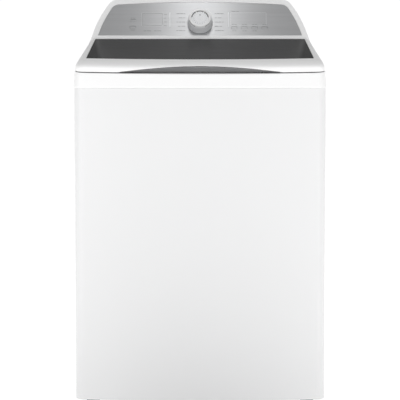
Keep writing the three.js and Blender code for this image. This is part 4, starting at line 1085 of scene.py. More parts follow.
# ------------------------------------------------------------------ cabinet
def build_cabinet():
    """One bent sheet with a flange at each rear edge, and a plate across each of its top corners."""
    half = SIDE - LIP
    outer = body_outline(half, FRONT + LIP, REAR)
    inner = body_outline(half - SHEET, FRONT + LIP + SHEET, REAR - SHEET, CORNER_RADIUS - SHEET)
    edge = half - REAR_FLANGE
    outer = [(-edge, REAR)] + outer[1:] + [outer[0], (edge, REAR)]
    inner = [(-edge, REAR - SHEET)] + inner[1:] + [inner[0], (edge, REAR - SHEET)]
    shell = make("cabinet_panels", [ribbon(outer, inner, FOOT_HEIGHT, CABINET_TOP)])
    soften(shell, sizes().panel_rounding / MM, 2)
    for plate in [suspension_plate(x, y, half) for x, y in corner_spots()]:
        carve(shell, plate, kind="UNION")
    stand_in(shell, "cabinet_shell")


def suspension_plate(x, y, half):
    """The plate that fills a corner of the cabinet and holds one rod."""
    top, bite, rear, rod_hole = CABINET_TOP - 30, 1, REAR - 7, 4.5
    low, high = top - 5, top + 7
    sides = sorted((x + 14.5 * (1 if x < 0 else -1), (half - bite) * (1 if x > 0 else -1)))
    ends = sorted((y + (14 if y < MIDDLE_Y else -14), FRONT if y < MIDDLE_Y else rear))
    plate = make("suspension_plate", [block(*sides, *ends, top, top + SHEET)])
    carve(plate, prism(body_outline(half - bite, FRONT + LIP + bite, rear), low, high), kind="INTERSECT")
    return carve(plate, lathe_at((x, y), rod_hole, low, high, 24))


def at(x, y, z=0.0):
    return Matrix.Translation((x, y, z))


def pressed_rib(x0, x1, z, height, depth):
    """A long pressed rib on an upright sheet that faces back."""
    rings = []
    for inset, y in ((0, -0.5), (0, 0.2), (height * 0.28, depth), (height * 0.5 - 0.2, depth + 0.1)):
        half = height / 2 - inset
        plan = rounded((x0 + x1) / 2, z, x1 - x0 - 2 * inset, 2 * half, half * 0.98, 5)
        rings.append([(x, y, up) for x, up in plan])
    return loft(rings)


def build_rear():
    """The frame's rear panel, with pressed ribs, rows of vents and screws round its edge."""
    stand_in(copy_of("rear_panel"), "rear_panel")
    back = span("rear_panel")[1].y
    ribs = [moved(pressed_rib(-270, 270, z, 26, 2.6), at(0, back)) for z in range(240, 691, 90)]
    add_on(make("rear_panel_ribs", ribs), "cabinet", "zinc_steel", angle=40)
    slot_shape = make("vent_shape", [loft([
        [(x, 0.05, z) for x, z in rounded(0, 0, 34, 5, 2.4, 4)],
        [(x, 0.35, z) for x, z in rounded(0, 0, 33, 4, 2, 4)],
    ])])
    vents = [((x, back, z), (1, 1, 1), (0, 0, 0)) for x in (-60, -20, 20, 60) for z in range(170, 212, 10)]
    add_on(spots_of("rear_vents", slot_shape, hole_dark(), vents), "cabinet", "dark_plastic", hole_dark())
    edge = span("rear_panel")[1].x - 12
    places = [(s * edge, back, z) for s in (-1, 1) for z in (60, 230, 400, 570, 740, 880)]
    places += [(x, back, z) for x in (-180, 0, 180) for z in (34, 890)]
    add_screws("rear_screws", places)


def add_screws(name, places):
    """Screw heads that face back."""
    spots = [(place, (1, 1, 1), FACING_BACK) for place in places]
    add_on(spots_of(name, screw_head(), zinc_steel(), spots), "cabinet", "zinc_steel")


# ------------------------------------------------------------------ top cover
def build_cover():
    """A hollow moulding with a sloping deck, a neck round the wash opening, and holes for what passes it."""
    seam, roof = CABINET_TOP + GAP, SHELF_Z + 5
    foot = CABINET_TOP - OPENING["foot"]
    cover = carve(make("top_cover_look", [cover_body(0, seam)]), under_deck(0, 0), kind="INTERSECT")
    inside = carve(make("inside", [cover_body(MOULD, seam - 5)]), under_deck(MOULD, 0), kind="INTERSECT")
    neck = make("neck", [prism(opening_outline(MOULD), foot, SHELF_Z)])
    carve(neck, under_deck(MOULD / 2, 0), kind="INTERSECT")
    carve(cover, inside)
    carve(cover, neck, kind="UNION")
    strike_y = FRONT + STRIKE["distance"] + FRONT_BOW * (STRIKE["x"] / SIDE) ** 2
    mouth = FRONT + LID_LENGTH * cos(DECK_SLOPE) - OPENING["rear"] + 5
    duct = span("fill_duct")
    cup = rounded(CUP["x"], CUP["y"], CUP["width"] + 2 * GAP, CUP["length"] + 2 * GAP, CUP["corner"])
    wiring = 38.5  # half the width of the hole under the console
    width, length = STRIKE["slot"]
    carve(
        cover,
        prism(opening_outline(0), foot - 5, roof),
        prism(rounded(STRIKE["x"], strike_y, width, length, 2.5, 4), CABINET_TOP, roof),
        prism(cup, CABINET_TOP, roof),
        block(duct[0].x - GAP, duct[1].x + GAP, mouth - 10, mouth, duct[0].z - GAP, duct[1].z + GAP),
        block(-wiring, wiring, SHELF_Y + 27, REAR - 36, SHELF_Z - 5, roof),
    )
    soften(cover, 1.3, 3, 40)
    stand_in(cover, "top_cover", angle=38)
    soft_copy("dispenser_cup", 0.7)


# ------------------------------------------------------------------ lid
def tapered(outline, half, taper):
    """An outline whose sides draw in towards the rear of the lid."""
    return [(x * (1 - taper * y / LID_LENGTH / half), y) for x, y in outline]


def lid_outline(side, front, rear, **steps):
    """The lid from above, with each side moved in by its own inset."""
    half = LID_HALF - side
    return tapered(body_outline(half, front, LID_LENGTH - rear, LID_CORNER, **steps), half, LID_TAPER)


def lid_shell(inset, levels, front_steps, dish=None):
    """The lid's crowned outside, moved in by an inset. dish moves its front corners in for the recess."""
    rise, rings = LID_THICKNESS - inset, []
    for k in range(levels + 1):
        share = k / levels
        side, front, rear = glide(LID_PROFILE, share)
        height = LID_GAP + share * rise
        insets = side + inset, front + LID_SET_BACK + inset, rear + inset
        outline = lid_outline(*insets, front_steps=front_steps)
        rings.append([(x, dish(x, y, height) if dish else y, height) for x, y in outline])
    return loft(rings)


def recess_top(x, extra=0.0):
    half = RECESS["half"] + extra
    return LID_GAP + (RECESS["height"] + extra) * (1 - (x / half) ** 2)


def recess_block(depth, extra):
    """The finger recess as an arched block that runs back from the lid's front."""
    half = RECESS["half"] + extra
    arch = [(-half + 2 * half * i / 72, recess_top(-half + 2 * half * i / 72, extra)) for i in range(1, 72)]
    return along_y([(half, 0), *reversed(arch), (-half, 0)], -5, depth)


def dished(x, y, height):
    """Moves a corner of the lid's front back into the finger recess."""
    if y > RECESS["depth"] or abs(x) > RECESS["half"] + 6:
        return y
    share = ease((recess_top(x, 1.2) - height) / 2.6)
    return y + (RECESS["depth"] - y) * share


def glass_outline(grow_by):
    """The pane on the lid, a little narrower at its rear."""
    half = LID_HALF - LID_SIDE_BORDER + grow_by
    front, rear = LID_FRONT_BORDER + LID_SET_BACK - grow_by, LID_LENGTH - LID_REAR_BORDER + grow_by
    return tapered(body_outline(half, front, rear, GLASS_CORNER, 6, 40), half, GLASS_TAPER)


def hinge_spots():
    return [-(SIDE - HINGE["inset"]), SIDE - HINGE["inset"]]


def pin(x0, x1, y, z, radius, steps=32):
    bar = lathe([(0, x0), (radius, x0), (radius, x1), (0, x1)], steps)
    return moved(bar, at(0, y, z) @ Matrix.Rotation(pi / 2, 4, "Y"))


def build_lid():
    """The lid's hollow frame with its finger recess, then the glass and what else is fixed to it."""
    hollow = make("hollow", [lid_shell(MOULD, 10, 40)])
    carve(hollow, block(-SIDE, SIDE, 0, LID_LENGTH, 0, LID_TOP - GLASS_THICKNESS - MOULD), kind="INTERSECT")
    carve(hollow, prism(lid_outline(MOULD, MOULD + 4, MOULD + 2), 0, LID_GAP + MOULD + GAP), kind="UNION")
    carve(hollow, recess_block(RECESS["depth"] + MOULD, MOULD))
    lid = make("lid_frame_look", [lid_shell(0, 30, 230, dished)])
    carve(
        lid,
        hollow,
        prism(glass_outline(GAP), LID_TOP - GLASS_THICKNESS - GAP, LID_TOP + 5),
        prism(glass_outline(-FASCIA_LEDGE), LID_GAP, LID_TOP),
    )
    v = LID_LENGTH - HINGE["back"]
    for x in hinge_spots():
        half, top = HINGE["width"] / 2 + 2, HINGE["rise"] + HINGE["eye"] + 2
        carve(lid, block(x - half, x + half, LID_LENGTH - HINGE["pocket"], LID_LENGTH + 5, 0, top))
        carve(lid, pin(x - HINGE["pocket"], x + HINGE["pocket"], v, HINGE["rise"], HINGE["pin"] + GAP))
    lay(lid, ON_DECK)
    stand_in(lid, "lid_frame", angle=42)

    glass = make("lid_glass_look", [prism(glass_outline(0), LID_TOP - GLASS_THICKNESS, LID_TOP - GAP / 2)])
    soften(glass, 0.8, 3)
    lay(glass, ON_DECK)
    stand_in(glass, "lid_glass")

    outer, inner = glass_outline(-0.6), glass_outline(-16)
    low = LID_TOP - GLASS_THICKNESS - 0.18
    high = low + 0.12
    corners = ((outer, low), (outer, high), (inner, high), (inner, low), (outer, low))
    rings = [[(x, y, z) for x, y in plan] for plan, z in corners]
    band = make("glass_border_band", [loft(rings, capped=False)])
    lay(band, ON_DECK)
    add_on(band, "lid", "smoked_glass", glass_border())

    soft_copy("lid_liner", 0.8)
    grip = make("grip_look", [recess_block(RECESS["depth"] - GAP, -1.6)])
    carve(
        grip,
        recess_block(RECESS["depth"] - GAP - MOULD, -4.4),
        block(-SIDE, SIDE, -10, RECESS["depth"] / 2, -5, LID_TOP),
        block(-SIDE, SIDE, -5, RECESS["depth"], -5, LID_GAP),
    )
    soften(grip, 0.8, 2)
    lay(grip, ON_DECK)
    stand_in(grip, "handle_insert")
    soft_copy("lid_strike", 0.4)
    for side in ("left", "right"):
        keep("hinge_pin_" + side)
    pad = lathe([(0, 0.5), (4.4, 0.5), (5.2, 1.3), (5.2, 3.2), (0, 3.2)], 24)
    pad_places = [(x, y) for x in (-325, 325) for y in (62, 420)]
    bumpers = make("lid_bumpers", [moved(pad, at(x, y)) for x, y in pad_places])
    lay(bumpers, ON_DECK)
    add_on(bumpers, "lid", "black_rubber")


def build_hinges():
    for side in ("left", "right"):
        soft_copy("hinge_bracket_" + side, 0.5)
    soft_copy("lid_lock", 0.6)
    soft_copy("lock_bolt", 0.3)


# ------------------------------------------------------------------ console
def console_outline(inset, steps=26):
    """The console from the front: leaning sides, round shoulders and a crowned top."""
    base, waist = SIDE - 12 - inset, SIDE - 27 - inset
    shoulder, crown = SIDE - 76 - inset, SIDE - 104 - inset
    low, middle, high = SHELF_Z + GAP - inset * 2, FASCIA_Z - 4, CONSOLE_TOP - 22 - inset
    right = [(base, low), (waist, middle)]
    right += curve(right[-1], (waist - 16, FASCIA_Z + 52), (shoulder, high), steps)
    right += curve(right[-1], (shoulder - 9, high + 13), (crown, high + 14), 10)
    top = curve(right[-1], (0, CONSOLE_TOP + 8 - inset), (-crown, high + 14), steps)
    return right + top[:-1] + [(-x, z) for x, z in reversed(right)]


def console_side(inset):
    """The console from the side: a short upright lip, then the tilted face."""
    front, slope, rise = FASCIA_Y + inset * 1.2, tan(CONSOLE_TILT), CONSOLE_TOP + 5 - FASCIA_Z
    foot, top = SHELF_Z - inset * 2, CONSOLE_TOP - 12 - inset
    nose = front - CONSOLE_LIP * slope
    return along_x([
        (nose, foot), (REAR - inset, foot), (REAR - inset, top),
        (front + rise * slope, CONSOLE_TOP + 5 - inset), (nose, FASCIA_Z - CONSOLE_LIP),
    ], -SIDE, SIDE)


def fascia_outline(grow_by, steps=26):
    """The fascia on the console's face, with its foot on the X axis."""
    foot, shoulder, crown = SIDE - 46 + grow_by, SIDE - 87 + grow_by, SIDE - 112
    edge = 113.5 + grow_by
    right = [(foot, -grow_by)]
    right += curve(right[-1], (foot - 12, 51), (shoulder, 102), steps)
    right += curve(right[-1], (shoulder - 8, edge), (crown, edge), 10)
    top = curve(right[-1], (0, edge + 16), (-crown, edge), steps)
    return right + top[:-1] + [(-x, y) for x, y in reversed(right)]


def build_console():
    """The hollow housing, with a ledge that holds the fascia."""
    body = make("console_look", [along_y(console_outline(0), SHELF_Y, REAR)])
    carve(body, console_side(0), kind="INTERSECT")
    inside = make("inside", [along_y(console_outline(MOULD), SHELF_Y, REAR - MOULD)])
    carve(inside, console_side(MOULD), kind="INTERSECT")
    soften(body, sizes().console_rounding / MM, 4, 30)
    seat = FASCIA_THICKNESS + FASCIA_SET_BACK + GAP

    def tilted(part):
        return lay(make("cutter", [part]), ON_CONSOLE)

    ledge = tilted(prism(fascia_outline(MOULD), -seat - MOULD, -GAP))
    carve(ledge, along_y(console_outline(0.5), SHELF_Y, REAR), kind="INTERSECT")
    carve(body, inside)
    carve(body, ledge, kind="UNION")
    window = prism(fascia_outline(-FASCIA_LEDGE), -seat - 15, 5)
    carve(body, tilted(prism(fascia_outline(GAP), -seat, 5)), tilted(window))
    stand_in(body, "console_housing", angle=34)
    add_screws("console_screws", [(x, REAR, SHELF_Z + 14) for x in range(-300, 301, 150)])


def key_outline(x, up, extra=0.0):
    return rounded(x, up, KEY["width"] + 2 * extra, KEY["height"] + 2 * extra, KEY["corner"] + extra, 6)


def display_outline(extra=0.0):
    d = DISPLAY
    return rounded(d["x"], d["up"], d["width"] + 2 * extra, d["height"] + 2 * extra, d["corner"] + extra, 6)


def build_fascia():
    """The metal plate with its holes, and the display and keys that stand in them."""
    face = -FASCIA_SET_BACK
    back = face - FASCIA_THICKNESS
    plate = make("fascia_look", [prism(fascia_outline(0), back, face)])
    carve(plate, lathe_at((0, KNOB_UP), 8, back - 5, 5))
    for x, up in KEYS.values():
        carve(plate, prism(key_outline(x, up, 0.35), back - 5, 5))
    carve(plate, prism(display_outline(GAP), face - DISPLAY["thickness"] - GAP, 5))
    soften(plate, 0.35, 2, 40)
    lay(plate, ON_CONSOLE)
    stand_in(plate, "console_fascia")
    window = make("display_look", [prism(display_outline(), face - DISPLAY["thickness"], face)])
    soften(window, 0.3, 2)
    lay(window, ON_CONSOLE)
    stand_in(window, "display_window")
    for node, (x, up) in KEYS.items():
        key = make(node + "_look", [prism(key_outline(x, up), -KEY["back"] - KEY["depth"], -KEY["back"])])
        soften(key, 0.7, 3)
        lay(key, ON_CONSOLE)
        stand_in(key, node)
    keep("control_board")


def lathe_at(spot, radius, low, high, steps=48):
    return moved(lathe([(0, low), (radius, low), (radius, high), (0, high)], steps), at(*spot))


def print_rows():
    """Rows of plain dashes where a machine has its words, as (x, up, width, height)."""
    rows = []

    def words(x, up, widths, height=1.9, space=1.6, right=False):
        total = sum(widths) + space * (len(widths) - 1)
        start = x - total if right else x
        for width in widths:
            rows.append((start + width / 2, up, width, height))
            start += width + space

    programmes = ((7, 11, 6), (9, 12), (6, 8, 10), (12, 7), (10, 9, 5))
    for k, widths in enumerate(programmes):
        words(-45, 18 + k * 15.5, widths, right=True)
        words(45, 18 + k * 15.5, tuple(reversed(widths)))
    for k, widths in enumerate(((8,), (10,), (6,), (9,))):
        words(-110, 36 + k * 13.5, widths, 1.6)
    words(-172, 17, (9, 13))
    words(-140, 17, (8, 12))
    words(97, 88, (12, 9))
    for k in range(4):
        x = OPTION_X[k]
        words(x - 7, 40, (6, 7), 1.6)
        if k < 3:
            words(x - 6, 17, (5, 6), 1.6)
    words(-212, 63, (6, 7), 1.6)
    words(-212, 20, (14,), 1.6)
    return rows


def flat_marks(name, corner, rise, rows, ink):
    """Plates laid on the fascia, from (x, up, width, height) rows. The corner is a share of a plate."""
    shape = make("mark_shape", [prism(rounded(0, 0, 1, 1, corner, 2), -0.02, rise)])
    spots = [((x, up, -FASCIA_SET_BACK), (width, height, 1), (0, 0, 0)) for x, up, width, height in rows]
    return spots_of(name, shape, ink, spots, ON_CONSOLE)


def build_print():
    """Dashes, light bars and box outlines, laid on the fascia."""
    words = flat_marks("fascia_print", 0.2, 0.06, print_rows(), grey_print())
    add_on(words, "cabinet", "dark_plastic", grey_print())
    bars = [(-92, 58, 2.4, 54), (87, 58, 2.4, 54)]
    bars += [(148, 83, 108, 0.5), (148, 37, 108, 0.5), (94, 60, 0.5, 46), (202, 60, 0.5, 46)]
    bars += [(DISPLAY["x"], DISPLAY["up"] + s * 24, 66, 0.5) for s in (-1, 1)]
    bars += [(DISPLAY["x"] + s * 33, DISPLAY["up"], 0.5, 48) for s in (-1, 1)]
    lines = flat_marks("fascia_lines", 0.1, 0.08, bars, light_print())
    add_on(lines, "cabinet", "white_plastic", light_print())


# ------------------------------------------------------------------ knob
def arc_band(start, end, section, steps=24):
    """A band from one angle to another, in degrees, with a section of (radius, height) corners."""
    angles = [radians(start + (end - start) * k / steps) for k in range(steps + 1)]
    return loft([[(r * cos(a), r * sin(a), z) for r, z in section] for a in angles])


def build_knob():
    """The ribbed skirt, the bright ring, the cap, the dark marks printed on them, and painted shade at the
    lower left and right of the gap between ring and skirt.
    """
    shelf, foot, flare = KNOB_HEIGHT - 5, 0.6, 7.0
    skirt = make("knob_skirt_look", [lathe([
        (0, -22), (6, -22), (6, foot), (KNOB_RADIUS - 1, foot), (KNOB_RADIUS, foot + 0.9),
        (KNOB_RADIUS, foot + 2.4), (KNOB_RADIUS - 1, foot + 5), (37.2, foot + flare), (36.4, 14),
        (35.6, shelf - 3), (34.8, shelf - 1), (KNOB_FACE + 0.6, shelf), (0, shelf),
    ], 144)])
    lay(skirt, ON_KNOB)
    stand_in(skirt, "knob_skirt", material=knob_metal(), angle=40)
    rib = make("rib_shape", [loft([
        [(r, y * w, z) for y in (-1, 1) for r in ((r0, r1) if y < 0 else (r1, r0))]
        for r0, r1, w, z in ((35.6, 37.4, 0.35, 8), (35.0, 36.7, 0.35, 14), (34.2, 35.9, 0.3, 22.5))
    ])])
    ribs = spokes_of("knob_ribs", rib, knob_metal(), 0, sizes().grip_ribs, ON_KNOB)
    add_on(ribs, "knob", "brushed_metal", knob_metal())

    low, inner = shelf + GAP, KNOB_FACE - KNOB_RING
    ring = make("knob_ring_look", [lathe([
        (inner, low), (KNOB_FACE, low), (KNOB_FACE, 28.4), (KNOB_FACE - 0.6, 29.7), (KNOB_FACE - 1.9, 30.6),
        (KNOB_FACE - 3, 30.8), (KNOB_FACE - 4.2, 30.4), (inner + 0.9, 29.6), (inner, 29.5),
    ], 144, closed=True)])
    lay(ring, ON_KNOB)
    stand_in(ring, "knob_ring", angle=50)

    edge = inner - GAP
    cap = make("knob_cap_look", [lathe([
        (0, low), (edge, low), (edge, 28), (edge - 0.8, 28.9), (edge - 2.4, 29.1), (edge * 0.7, 29.2),
        (edge * 0.35, 29.45), (0, 29.5),
    ], 144)])
    lay(cap, ON_KNOB)
    stand_in(cap, "knob_cap", material=cap_metal(), angle=40)

    seat = ((edge - 3.2, 29.0), (edge - 3.2, 29.34), (edge - 0.6, 29.2), (edge - 0.6, 28.7))
    # Painted shade: thin dark walls round the ring's outside, at its lower left and lower right only, where
    # the gap between ring and skirt lies in shade.
    sunk, proud = KNOB_FACE - 0.1, KNOB_FACE + 0.25
    wall = ((sunk, low), (sunk, 28.3), (proud, 28.3), (proud, low))
    print_and_shade_arcs = [arc_band(start, end, seat) for start, end in ((6, 59), (66, 114), (121, 174))]
    print_and_shade_arcs += [arc_band(start, end, wall) for start, end in ((192, 242), (298, 348))]
    mark = block(-0.35, 0.35, edge - 7.2, edge - 4.8, 29.1, 29.36)
    pointer = block(-0.9, 0.9, edge * 0.3, edge * 0.52, 29.2, 29.5)
    marks = [moved(mark, Matrix.Rotation(radians(a), 4, "Z")) for a in range(0, 360, 20)]
    dark = make("knob_marks", print_and_shade_arcs + marks + [pointer])
    lay(dark, ON_KNOB)
    add_on(dark, "knob", "dark_plastic", dark_print())


# ------------------------------------------------------------------ tub and basket
def spun(node, profile, steps=128, wave=None, angle=32):
    """A ring about the basket's axis takes the place of a frame node."""
    piece = make(node + "_look", [moved(lathe(profile, steps, True, wave), AT_MIDDLE)])
    return stand_in(piece, node, angle=angle)


def build_tub():
    """The tub with a lug for each rod, its ribs, and the ring over its rim."""
    low = span("outer_tub")[0].z
    bore, wall = 20.6, 4
    floor_z, inner = low + 46, TUB_RADIUS - wall
    tub = make("outer_tub_look", [moved(lathe([
        (bore, low), (60, low), (62, low + 2), (62, floor_z - 4), (66, floor_z), (TUB_RADIUS - 26, floor_z),
        (TUB_RADIUS - 14, floor_z + 4), (TUB_RADIUS - 4, floor_z + 13), (TUB_RADIUS, floor_z + 26),
        (TUB_RADIUS, TUB_TOP), (inner, TUB_TOP), (inner, floor_z + 28), (inner - 5, floor_z + 14),
        (inner - 16, floor_z + 6), (inner - 24, floor_z + wall), (bore, floor_z + wall),
    ], 128, closed=True), AT_MIDDLE)])
    spots = corner_spots()
    reach = hypot(spots[0][0], spots[0][1] - MIDDLE_Y)
    lug_z = span("suspension_spring_1")[1].z + GAP
    for x, y in spots:
        turn = AT_MIDDLE @ Matrix.Rotation(atan2(y - MIDDLE_Y, x), 4, "Z")
        plan = [(inner + 2, -20), *arc_points(reach, 0, 20, -pi / 2, pi / 2, 14), (inner + 2, 20)]
        lug = make("lug", [moved(prism(plan, lug_z, lug_z + 26), turn)])
        carve(lug, moved(lathe_at((reach, 0), 8.5, lug_z - 5, lug_z + 31, 32), turn))
        carve(tub, lug, kind="UNION")
    soften(tub, 1.0, 2, 40)
    stand_in(tub, "outer_tub", material=tub_plastic(), angle=38)
    rib = make("rib_shape", [block(TUB_RADIUS - 1, TUB_RADIUS + 2.2, -1.4, 1.4, -160, 160)])
    soften(rib, 0.8, 1)
    ribs = spokes_of("tub_ribs", rib, tub_plastic(), 690, 36, AT_MIDDLE)
    add_on(ribs, "tub", "grey_plastic", tub_plastic())
    under = make("rib_shape", [block(70, TUB_RADIUS - 30, -1.6, 1.6, -9, 1)])
    under_ribs = spokes_of("tub_floor_ribs", under, tub_plastic(), floor_z, 24, AT_MIDDLE, stagger=0.5)
    clear_of_drive(under_ribs)
    add_on(under_ribs, "tub", "grey_plastic", tub_plastic())
    z = TUB_TOP + GAP
    width = 44  # of the ring, inwards from the tub's wall
    spun("tub_ring", [
        (TUB_RADIUS - width, z), (TUB_RADIUS + 3, z), (TUB_RADIUS + 3, z + 3.2), (TUB_RADIUS + 1, z + 5.5),
        (TUB_RADIUS - 6, z + 11), (TUB_RADIUS - 10, z + 12), (TUB_RADIUS - 22, z + 10.2),
        (TUB_RADIUS - width + 4, z + 7), (TUB_RADIUS - width + 0.6, z + 5.4),
    ])


def clear_of_drive(piece):
    """Takes away the ribs' parts that would run into the motor and the pump."""
    for node in ("drive_motor", "drain_pump"):
        low, high = span(node)
        carve(piece, block(low.x - 4, high.x + 4, low.y - 4, high.y + 4, low.z, high.z + 4))


def build_basket():
    """A fluted, perforated basket with its balance ring."""
    wall, bore, flutes, flute_depth = 2.5, 20.3, 20, 1.6
    inner, low = BASKET_RADIUS - wall, BASKET_Z

    def fluted(angle, radius, height):
        if radius < inner - 4 or height < low + 44 or height > BASKET_TOP - 24:
            return radius, height
        return radius - flute_depth * (0.5 + 0.5 * cos(angle * flutes)), height

    wall_heights = [low + 32 + (BASKET_TOP - low - 50) * k / 14 for k in range(15)]
    outside = [(BASKET_RADIUS, z) for z in wall_heights]
    inside = [(inner, z) for z in reversed(wall_heights)]
    spun("wash_basket", [
        (bore, low), (BASKET_RADIUS - 26, low), (BASKET_RADIUS - 10, low + 6), (BASKET_RADIUS - 2, low + 17),
        (BASKET_RADIUS, low + 26), *outside, (BASKET_RADIUS, BASKET_TOP), (inner, BASKET_TOP), *inside,
        (inner, low + 27), (inner - 2, low + 18), (inner - 9, low + 9), (inner - 24, low + wall),
        (bore, low + wall),
    ], steps=200, wave=fluted, angle=60)
    radius, rows = sizes().hole_radius / MM, sizes().hole_rows
    count = sizes().hole_columns
    pitch = (BASKET_TOP - low - 100) / (rows - 1)
    disc = lathe([(0, -4.3), (radius, -4.3), (radius, 0.12), (0, 0.12)], 8)
    hole = make("hole_shape", [moved(disc, Matrix.Rotation(pi / 2, 4, "Y"))])
    holes = rings_of(
        "basket_holes", hole, hole_dark(), BASKET_RADIUS, low + 60, pitch, rows, count, 0.5, AT_MIDDLE,
    )
    add_on(holes, "basket", "stainless", hole_dark())

    top, high, ring_in = BASKET_TOP + GAP, BASKET_TOP + 46, BASKET_RADIUS - 32
    spun("balance_ring", [
        (ring_in + 8, top), (BASKET_RADIUS, top), (BASKET_RADIUS, high - 8),
        (BASKET_RADIUS - 2.4, high - 2.4), (BASKET_RADIUS - 8, high), (ring_in + 8, high),
        (ring_in + 2.4, high - 2.4), (ring_in, high - 8),
        (ring_in, top + 8), (ring_in + 2.4, top + 2.4),
    ], angle=40)
    keep("basket_hub")


def build_wash_plate():
    """A shallow dish whose vanes rise smoothly to the dome in its middle."""
    low, high = span("wash_plate")
    radius, count, steps = (high.x - low.x) / 2, sizes().vanes, 180
    base, dome_rise = low.z + 14, 43
    profile = [(0, low.z), (radius - 1, low.z), (radius, low.z + 1.5), (radius, base - 5)]
    shares = [0.995, 0.98, 0.95, 0.9, 0.84, 0.76, 0.68, 0.6, 0.52, 0.44, 0.37, 0.3, 0.24, 0.18, 0.12, 0.06, 0]
    profile += [(radius * s, base) for s in shares]

    def from_vane(angle, r):
        """How far a point lies from the nearest vane, along its own circle."""
        return abs(((angle * count / (2 * pi) + 0.5) % 1) - 0.5) / count * 2 * pi * r

    def raised(angle, r, height):
        if height < base - 0.1:
            return r, height
        share = r / radius
        dome = dome_rise * (1 - ease(share / 0.4)) if share < 0.4 else 0
        rim = -2.2 * ease((share - 0.94) / 0.06)
        away = from_vane(angle, r)
        ridge = (22 * ease((1 - share) / 0.75) + 5) * ease((0.97 - share) / 0.1) * (1 - ease(away / 13))
        return r, base + rim + max(dome, ridge)

    dish = lathe(profile[:-1] + [(0, base + dome_rise)], steps, wave=raised)
    plate = make("wash_plate_look", [moved(dish, AT_MIDDLE)])
    stand_in(plate, "wash_plate", angle=50)
    drain = make("hole_shape", [lathe([(0, -0.2), (2.6, -0.2), (2.6, 0.35), (0, 0.35)], 10)])
    spots = []
    for k in range(count * 2):
        a = 2 * pi * (k + 0.5) / (count * 2)
        for r in (130, 148, 166, 184, 202, 220):
            if from_vane(a, r) > 16:
                spots.append(((r * cos(a), MIDDLE_Y + r * sin(a), base), (1, 1, 1), (0, 0, 0)))
    add_on(spots_of("plate_holes", drain, hole_dark(), spots), "impeller", "grey_plastic", hole_dark())


# ------------------------------------------------------------------ drive, under the tub
def build_drive():
    """The spoked pulley, the motor with its fins, the pump, and the toothed belt."""
    keep("drive_shaft")
    low, high = span("drive_pulley")
    rim, seat, z0, z1 = (high.x - low.x) / 2, BELT["wheel"], low.z, high.z
    wheel = make("pulley_look", [lathe([
        (rim - 11, z0), (rim, z0), (rim, z0 + 1.6), (seat, z0 + 2.2), (seat, z1 - 2.2),
        (rim, z1 - 1.6), (rim, z1), (rim - 11, z1),
    ], 96, closed=True)])
    hub = lathe([(0, z0), (24, z0), (24, z1), (0, z1)], 48)
    ends = ((20, 9), (rim - 8, 6))
    spoke = loft([
        [(x, -half, z0 + 4), (x, half, z0 + 4), (x, half, z1 - 4), (x, -half, z1 - 4)] for x, half in ends
    ])
    spokes = [moved(spoke, Matrix.Rotation(2 * pi * k / 6, 4, "Z")) for k in range(6)]
    carve(wheel, hub, *spokes, kind="UNION")
    soften(wheel, 0.8, 2, 35)
    lay(wheel, AT_MIDDLE)
    stand_in(wheel, "drive_pulley")
    soft_copy("motor_pulley", 0.4)

    low, high = span("drive_motor")
    x, y, z0, z1 = (low.x + high.x) / 2, (low.y + high.y) / 2, low.z, high.z
    radius = (high.x - low.x) / 2
    foot = z1 - 52
    motor = make("motor_look", [moved(lathe([
        (0, z0), (6.2, z0), (7, z0 + 0.8), (7, foot), (20, foot), (22, foot + 1.5), (radius - 10, foot + 2),
        (radius - 3, foot + 5), (radius - 1, foot + 10), (radius - 1, z1 - 9), (radius, z1 - 8),
        (radius, z1), (0, z1),
    ], 72), at(x, y))])
    stand_in(motor, "drive_motor")
    fin = make("fin_shape", [block(radius - 2, radius - 0.1, -0.9, 0.9, -14, 14)])
    fins = spokes_of("motor_fins", fin, painted_iron(), z1 - 26, 40, at(x, y))
    add_on(fins, "tub", "iron")
    soft_copy("drain_pump", 1.2)
    stand_in(copy_of("drive_belt"), "drive_belt", angle=50)
    low, high = span("drive_belt")
    groove = make("rib_shape", [block(-0.5, 0.5, -0.3, 0.3, low.z + 0.6, high.z - 0.6)])
    big, small, distance = BELT["wheel"] + BELT["height"], BELT["pinion"] + BELT["height"], BELT["distance"]
    lean = (pi / 2) - atan2((distance**2 - (big - small) ** 2) ** 0.5, big - small)
    spots = []
    for k in range(70):
        a = pi - lean + (pi + 2 * lean) * k / 69
        spots.append(((big * cos(a), MIDDLE_Y + big * sin(a), 0), (1, 1, 1), (0, 0, a)))
    teeth = spots_of("belt_teeth", groove, rubber(), spots)
    add_on(teeth, "tub", "black_rubber")


def build_suspension():
    """Four rods with a cup at the foot and a ball at the top, each with its spring."""
    for k, (x, y) in enumerate(corner_spots(), 1):
        node = f"suspension_rod_{k}"
        low, high = span(node)
        seat = high.z - 11
        rod = make(node + "_look", [moved(lathe([
            (0, low.z), (18, low.z), (19.5, low.z + 0.8), (22, low.z + 6), (22, low.z + 7), (20.4, low.z + 7),
            (18.6, low.z + 3), (3.5, low.z + 3), (3.5, seat), (10.6, seat), (11, seat + 1),
            (10.2, seat + 4.4), (8, seat + 7.6), (4.6, seat + 10), (0, seat + 11),
        ], 32), at(x, y))])
        stand_in(rod, node)
        build_spring(k, x, y)


def build_spring(k, x, y):
    """Wire wound round a rod, with flat ends, from the rod's cup up to the tub's lug."""
    node = f"suspension_spring_{k}"
    low, high = span(node)
    wire, turns = 1.7, sizes().spring_turns
    radius = (high.x - low.x) / 2 - wire
    foot, top, steps = low.z + wire, high.z - wire, turns * 20
    flat = 0.75 / turns
    path = []
    for i in range(steps + 1):
        share = i / steps
        rise = 0 if share < flat else 1 if share > 1 - flat else (share - flat) / (1 - 2 * flat)
        a = 2 * pi * turns * share
        path.append((x + radius * cos(a), y + radius * sin(a), foot + (top - foot) * rise))
    spring = make(node + "_look", [tube(path, wire, 8)])
    shade(spring, 50)
    coat(spring, zinc_steel())
    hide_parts(node)
    x * MM
    y * MM
    x * MM
    y * MM
    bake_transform(spring)


